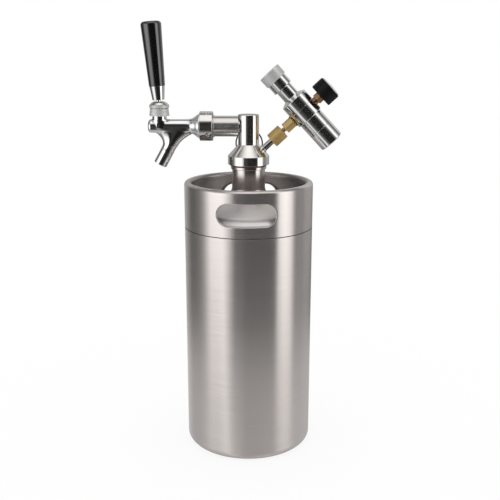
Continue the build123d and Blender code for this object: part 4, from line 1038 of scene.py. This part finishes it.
ring_low_m, ring_high_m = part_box("prv_ring")
ring_size = (ring_high_m[0] - ring_low_m[0]) / 2 / MM
ring_wire = (ring_high_m[1] - ring_low_m[1]) / 2 / MM
ring_hub = [(a + b) / 2 / MM for a, b in zip(ring_low_m, ring_high_m)]
pull_ring = torus("prv_ring_skin", ring_hub, ring_size - ring_wire, ring_wire)
dress(pull_ring, "prv_ring")

# The CAD nodes that still show take their own finish
for node, obj in frame["nodes"].items():
    if not obj.hide_render:
        obj.data.materials.clear()
        obj.data.materials.append(needle_red if node == "gauge_needle" else finish[slot_of[node]])
        for polygon in obj.data.polygons:
            polygon.material_index = 0

# ---- floor, light and camera
FLOOR_R, FLOOR_GLOW_R = 6.0, 1.2
bpy.ops.mesh.primitive_circle_add(vertices=96, radius=FLOOR_R, fill_type="NGON", location=(0, 0, -0.0005))
floor = bpy.context.object
floor.name = "floor"
n = Nodes("floor_white")
seen = n.add("ShaderNodeLightPath")
glow = n.add("ShaderNodeEmission", {"Color": (1, 1, 1, 1), "Strength": 1.0})
shown = n.math("MAXIMUM", seen.outputs["Is Camera Ray"], seen.outputs["Is Transmission Ray"])
n.set(Base_Color=(1, 1, 1, 1), Roughness=0.8, Specular_IOR_Level=0.0)
white = n.add("ShaderNodeMixShader", {"Fac": n.math("MULTIPLY", shown, 0.86), 1: n.shader.outputs[0],
                                      2: glow.outputs[0]})
# Painted light: reflections see the floor glow, brightest near the object and fading outwards, and further out they
# see through it to the world's studio
away = n.add("ShaderNodeVectorMath", {0: n.place}, operation="LENGTH").outputs["Value"]
near = n.ramp(n.math("DIVIDE", away, FLOOR_GLOW_R), [(0, 0.75), (0.27, 0.7), (0.37, 0.45), (0.46, 0.15),
                                                       (0.56, 0.04), (1, 0)])
see_through = n.add("ShaderNodeBsdfTransparent", {"Color": n.math("SUBTRACT", 1.0, near)})
# Painted light: the floor glows only for reflections, more near the object
floor_glow_in_reflections = n.add("ShaderNodeEmission", {"Color": (1, 1, 1, 1), "Strength": n.math("MULTIPLY", near, 1.1)})
floor_in_reflections = n.add("ShaderNodeAddShader", {0: see_through.outputs[0], 1: floor_glow_in_reflections.outputs[0]})
mixed = n.add("ShaderNodeMixShader", {"Fac": seen.outputs["Is Glossy Ray"], 1: white.outputs[0],
                                      2: floor_in_reflections.outputs[0]})
n.tree.links.new(mixed.outputs[0], n.tree.nodes["Material Output"].inputs["Surface"])
floor.data.materials.append(n.material)

# World: even white for the camera and for diffuse light. Glossy rays don't see that white: they see softboxes,
# black flags and the gaps between. Each list gives the angle from the level direction towards the main camera and
# the brightness, one way round it. The levels were fitted to the main view's reflections.
CAMERA_AZIMUTH = 1.65
RIGHT = [(0, 0.012), (30, 0.012), (48, 0.02), (52, 0.4), (56, 1.7), (68, 2.0), (81, 1.5), (87, 0.65),
         (93, 0.2), (99, 0.27), (112, 0.3), (122, 0.45), (143, 0.5), (158, 0.45), (180, 0.3)]
LEFT = [(0, 0.012), (12, 0.05), (18, 0.012), (24, 0.02), (28, 0.6), (33, 1.3), (45, 1.85), (57, 1.9), (71, 1.75),
        (79, 1.0), (87, 0.4), (96, 0.16), (110, 0.05), (124, 0.05), (134, 0.25), (146, 0.42), (160, 0.4),
        (180, 0.3)]
UP = [(0, 0.012), (33, 0.012), (40, 0.25), (46, 1.0), (60, 1.2), (80, 1.2), (98, 1.1), (104, 0.3), (110, 0.12),
      (118, 0.3), (130, 0.5), (150, 0.6), (165, 0.6), (180, 0.3)]
DOWN = [(0, 0.012), (20, 0.012), (40, 0.015), (60, 0.05), (80, 0.2), (96, 0.2), (110, 0.1), (140, 0.08),
        (180, 0.2)]
DOWN_RIGHT = [(0, 0.012), (40, 0.02), (49, 0.04), (60, 0.13), (73, 0.28), (87, 0.26), (103, 0.2), (122, 0.2),
              (151, 0.17), (180, 0.2)]
UP_RIGHT = [(0, 0.012), (34, 0.012), (48, 0.1), (56, 0.3), (62, 1.0), (68, 1.3), (76, 1.1),
            (84, 0.5), (92, 0.35), (104, 0.12), (114, 0.12), (122, 0.5), (140, 0.7), (180, 0.3)]
UP_LEFT = [(0, 0.012), (30, 0.05), (44, 0.6), (52, 1.0), (57, 0.6), (62, 0.12), (72, 0.15), (84, 0.4), (92, 0.2),
           (105, 0.08), (118, 0.3), (140, 0.45), (180, 0.3)]
DOWN_LEFT = [(0, 0.012), (16, 0.06), (34, 0.06), (42, 0.35), (50, 1.0), (56, 0.6), (66, 0.25), (88, 0.22),
             (106, 0.16), (124, 0.16), (140, 0.3), (160, 0.6), (180, 0.3)]
world = bpy.data.worlds.new("studio")
bpy.context.scene.world = world
world.use_nodes = True
w = Graph(world.node_tree)
direction = w.add("ShaderNodeTexCoord").outputs["Generated"]
front = (math.sin(math.radians(CAMERA_AZIMUTH)), -math.cos(math.radians(CAMERA_AZIMUTH)), 0)
ahead = w.add("ShaderNodeVectorMath", {0: direction, 1: front}, operation="DOT_PRODUCT").outputs["Value"]
turn = w.math("DIVIDE", w.math("ARCCOSINE", ahead), math.pi)
split = w.add("ShaderNodeSeparateXYZ", {0: direction})
x, z = split.outputs["X"], split.outputs["Z"]
off_axis = w.math("ADD", w.math("MULTIPLY", x, x), w.math("MULTIPLY", z, z))


def weight(value, sign):
    """How much a direction counts as right, left, up or down of straight ahead. The four add up to 1."""
    part = w.math("MAXIMUM", w.math("MULTIPLY", value, sign), 0.0)
    return w.math("DIVIDE", w.math("MULTIPLY", part, part), off_axis)


def row(levels):
    return w.ramp(turn, [(angle / 180, level) for angle, level in levels])


def blend(base, levels, share):
    mix = w.add("ShaderNodeMix", {"Factor": share}, data_type="RGBA")
    w.tree.links.new(base, mix.inputs[6])
    w.tree.links.new(row(levels), mix.inputs[7])
    return mix.outputs[2]


right, left, up, down = weight(x, 1.0), weight(x, -1.0), weight(z, 1.0), weight(z, -1.0)
level = None
for share, levels in ((right, RIGHT), (left, LEFT), (up, UP), (down, DOWN)):
    part = w.math("MULTIPLY", row(levels), share)
    level = part if level is None else w.math("ADD", level, part)
for one, other, levels in ((right, up, UP_RIGHT), (left, up, UP_LEFT), (left, down, DOWN_LEFT),
                           (right, down, DOWN_RIGHT)):
    level = blend(level, levels, w.math("MULTIPLY", w.math("MULTIPLY", one, other), 4.0))
mirror = w.add("ShaderNodeBackground", {"Color": level, "Strength": 2.0})
plain = world.node_tree.nodes["Background"]
plain.inputs["Color"].default_value = (1, 1, 1, 1)
plain.inputs["Strength"].default_value = 1.0
only = w.add("ShaderNodeMixShader", {"Fac": w.add("ShaderNodeLightPath").outputs["Is Glossy Ray"],
                                     1: plain.outputs[0], 2: mirror.outputs[0]})
w.tree.links.new(only.outputs[0], world.node_tree.nodes["World Output"].inputs["Surface"])

camera_data = bpy.data.cameras.new("camera")
camera_data.lens = 57.5
camera_data.sensor_width = 36
camera_data.shift_x = 0.003
camera = bpy.data.objects.new("camera", camera_data)
camera.location = (0.0290, -1.0080, 0.5160)
camera.rotation_euler = (math.radians(90 - 14.27), 0, math.radians(CAMERA_AZIMUTH))
bpy.context.scene.collection.objects.link(camera)
bpy.context.scene.camera = camera
bpy.context.scene.view_settings.view_transform = "Standard"
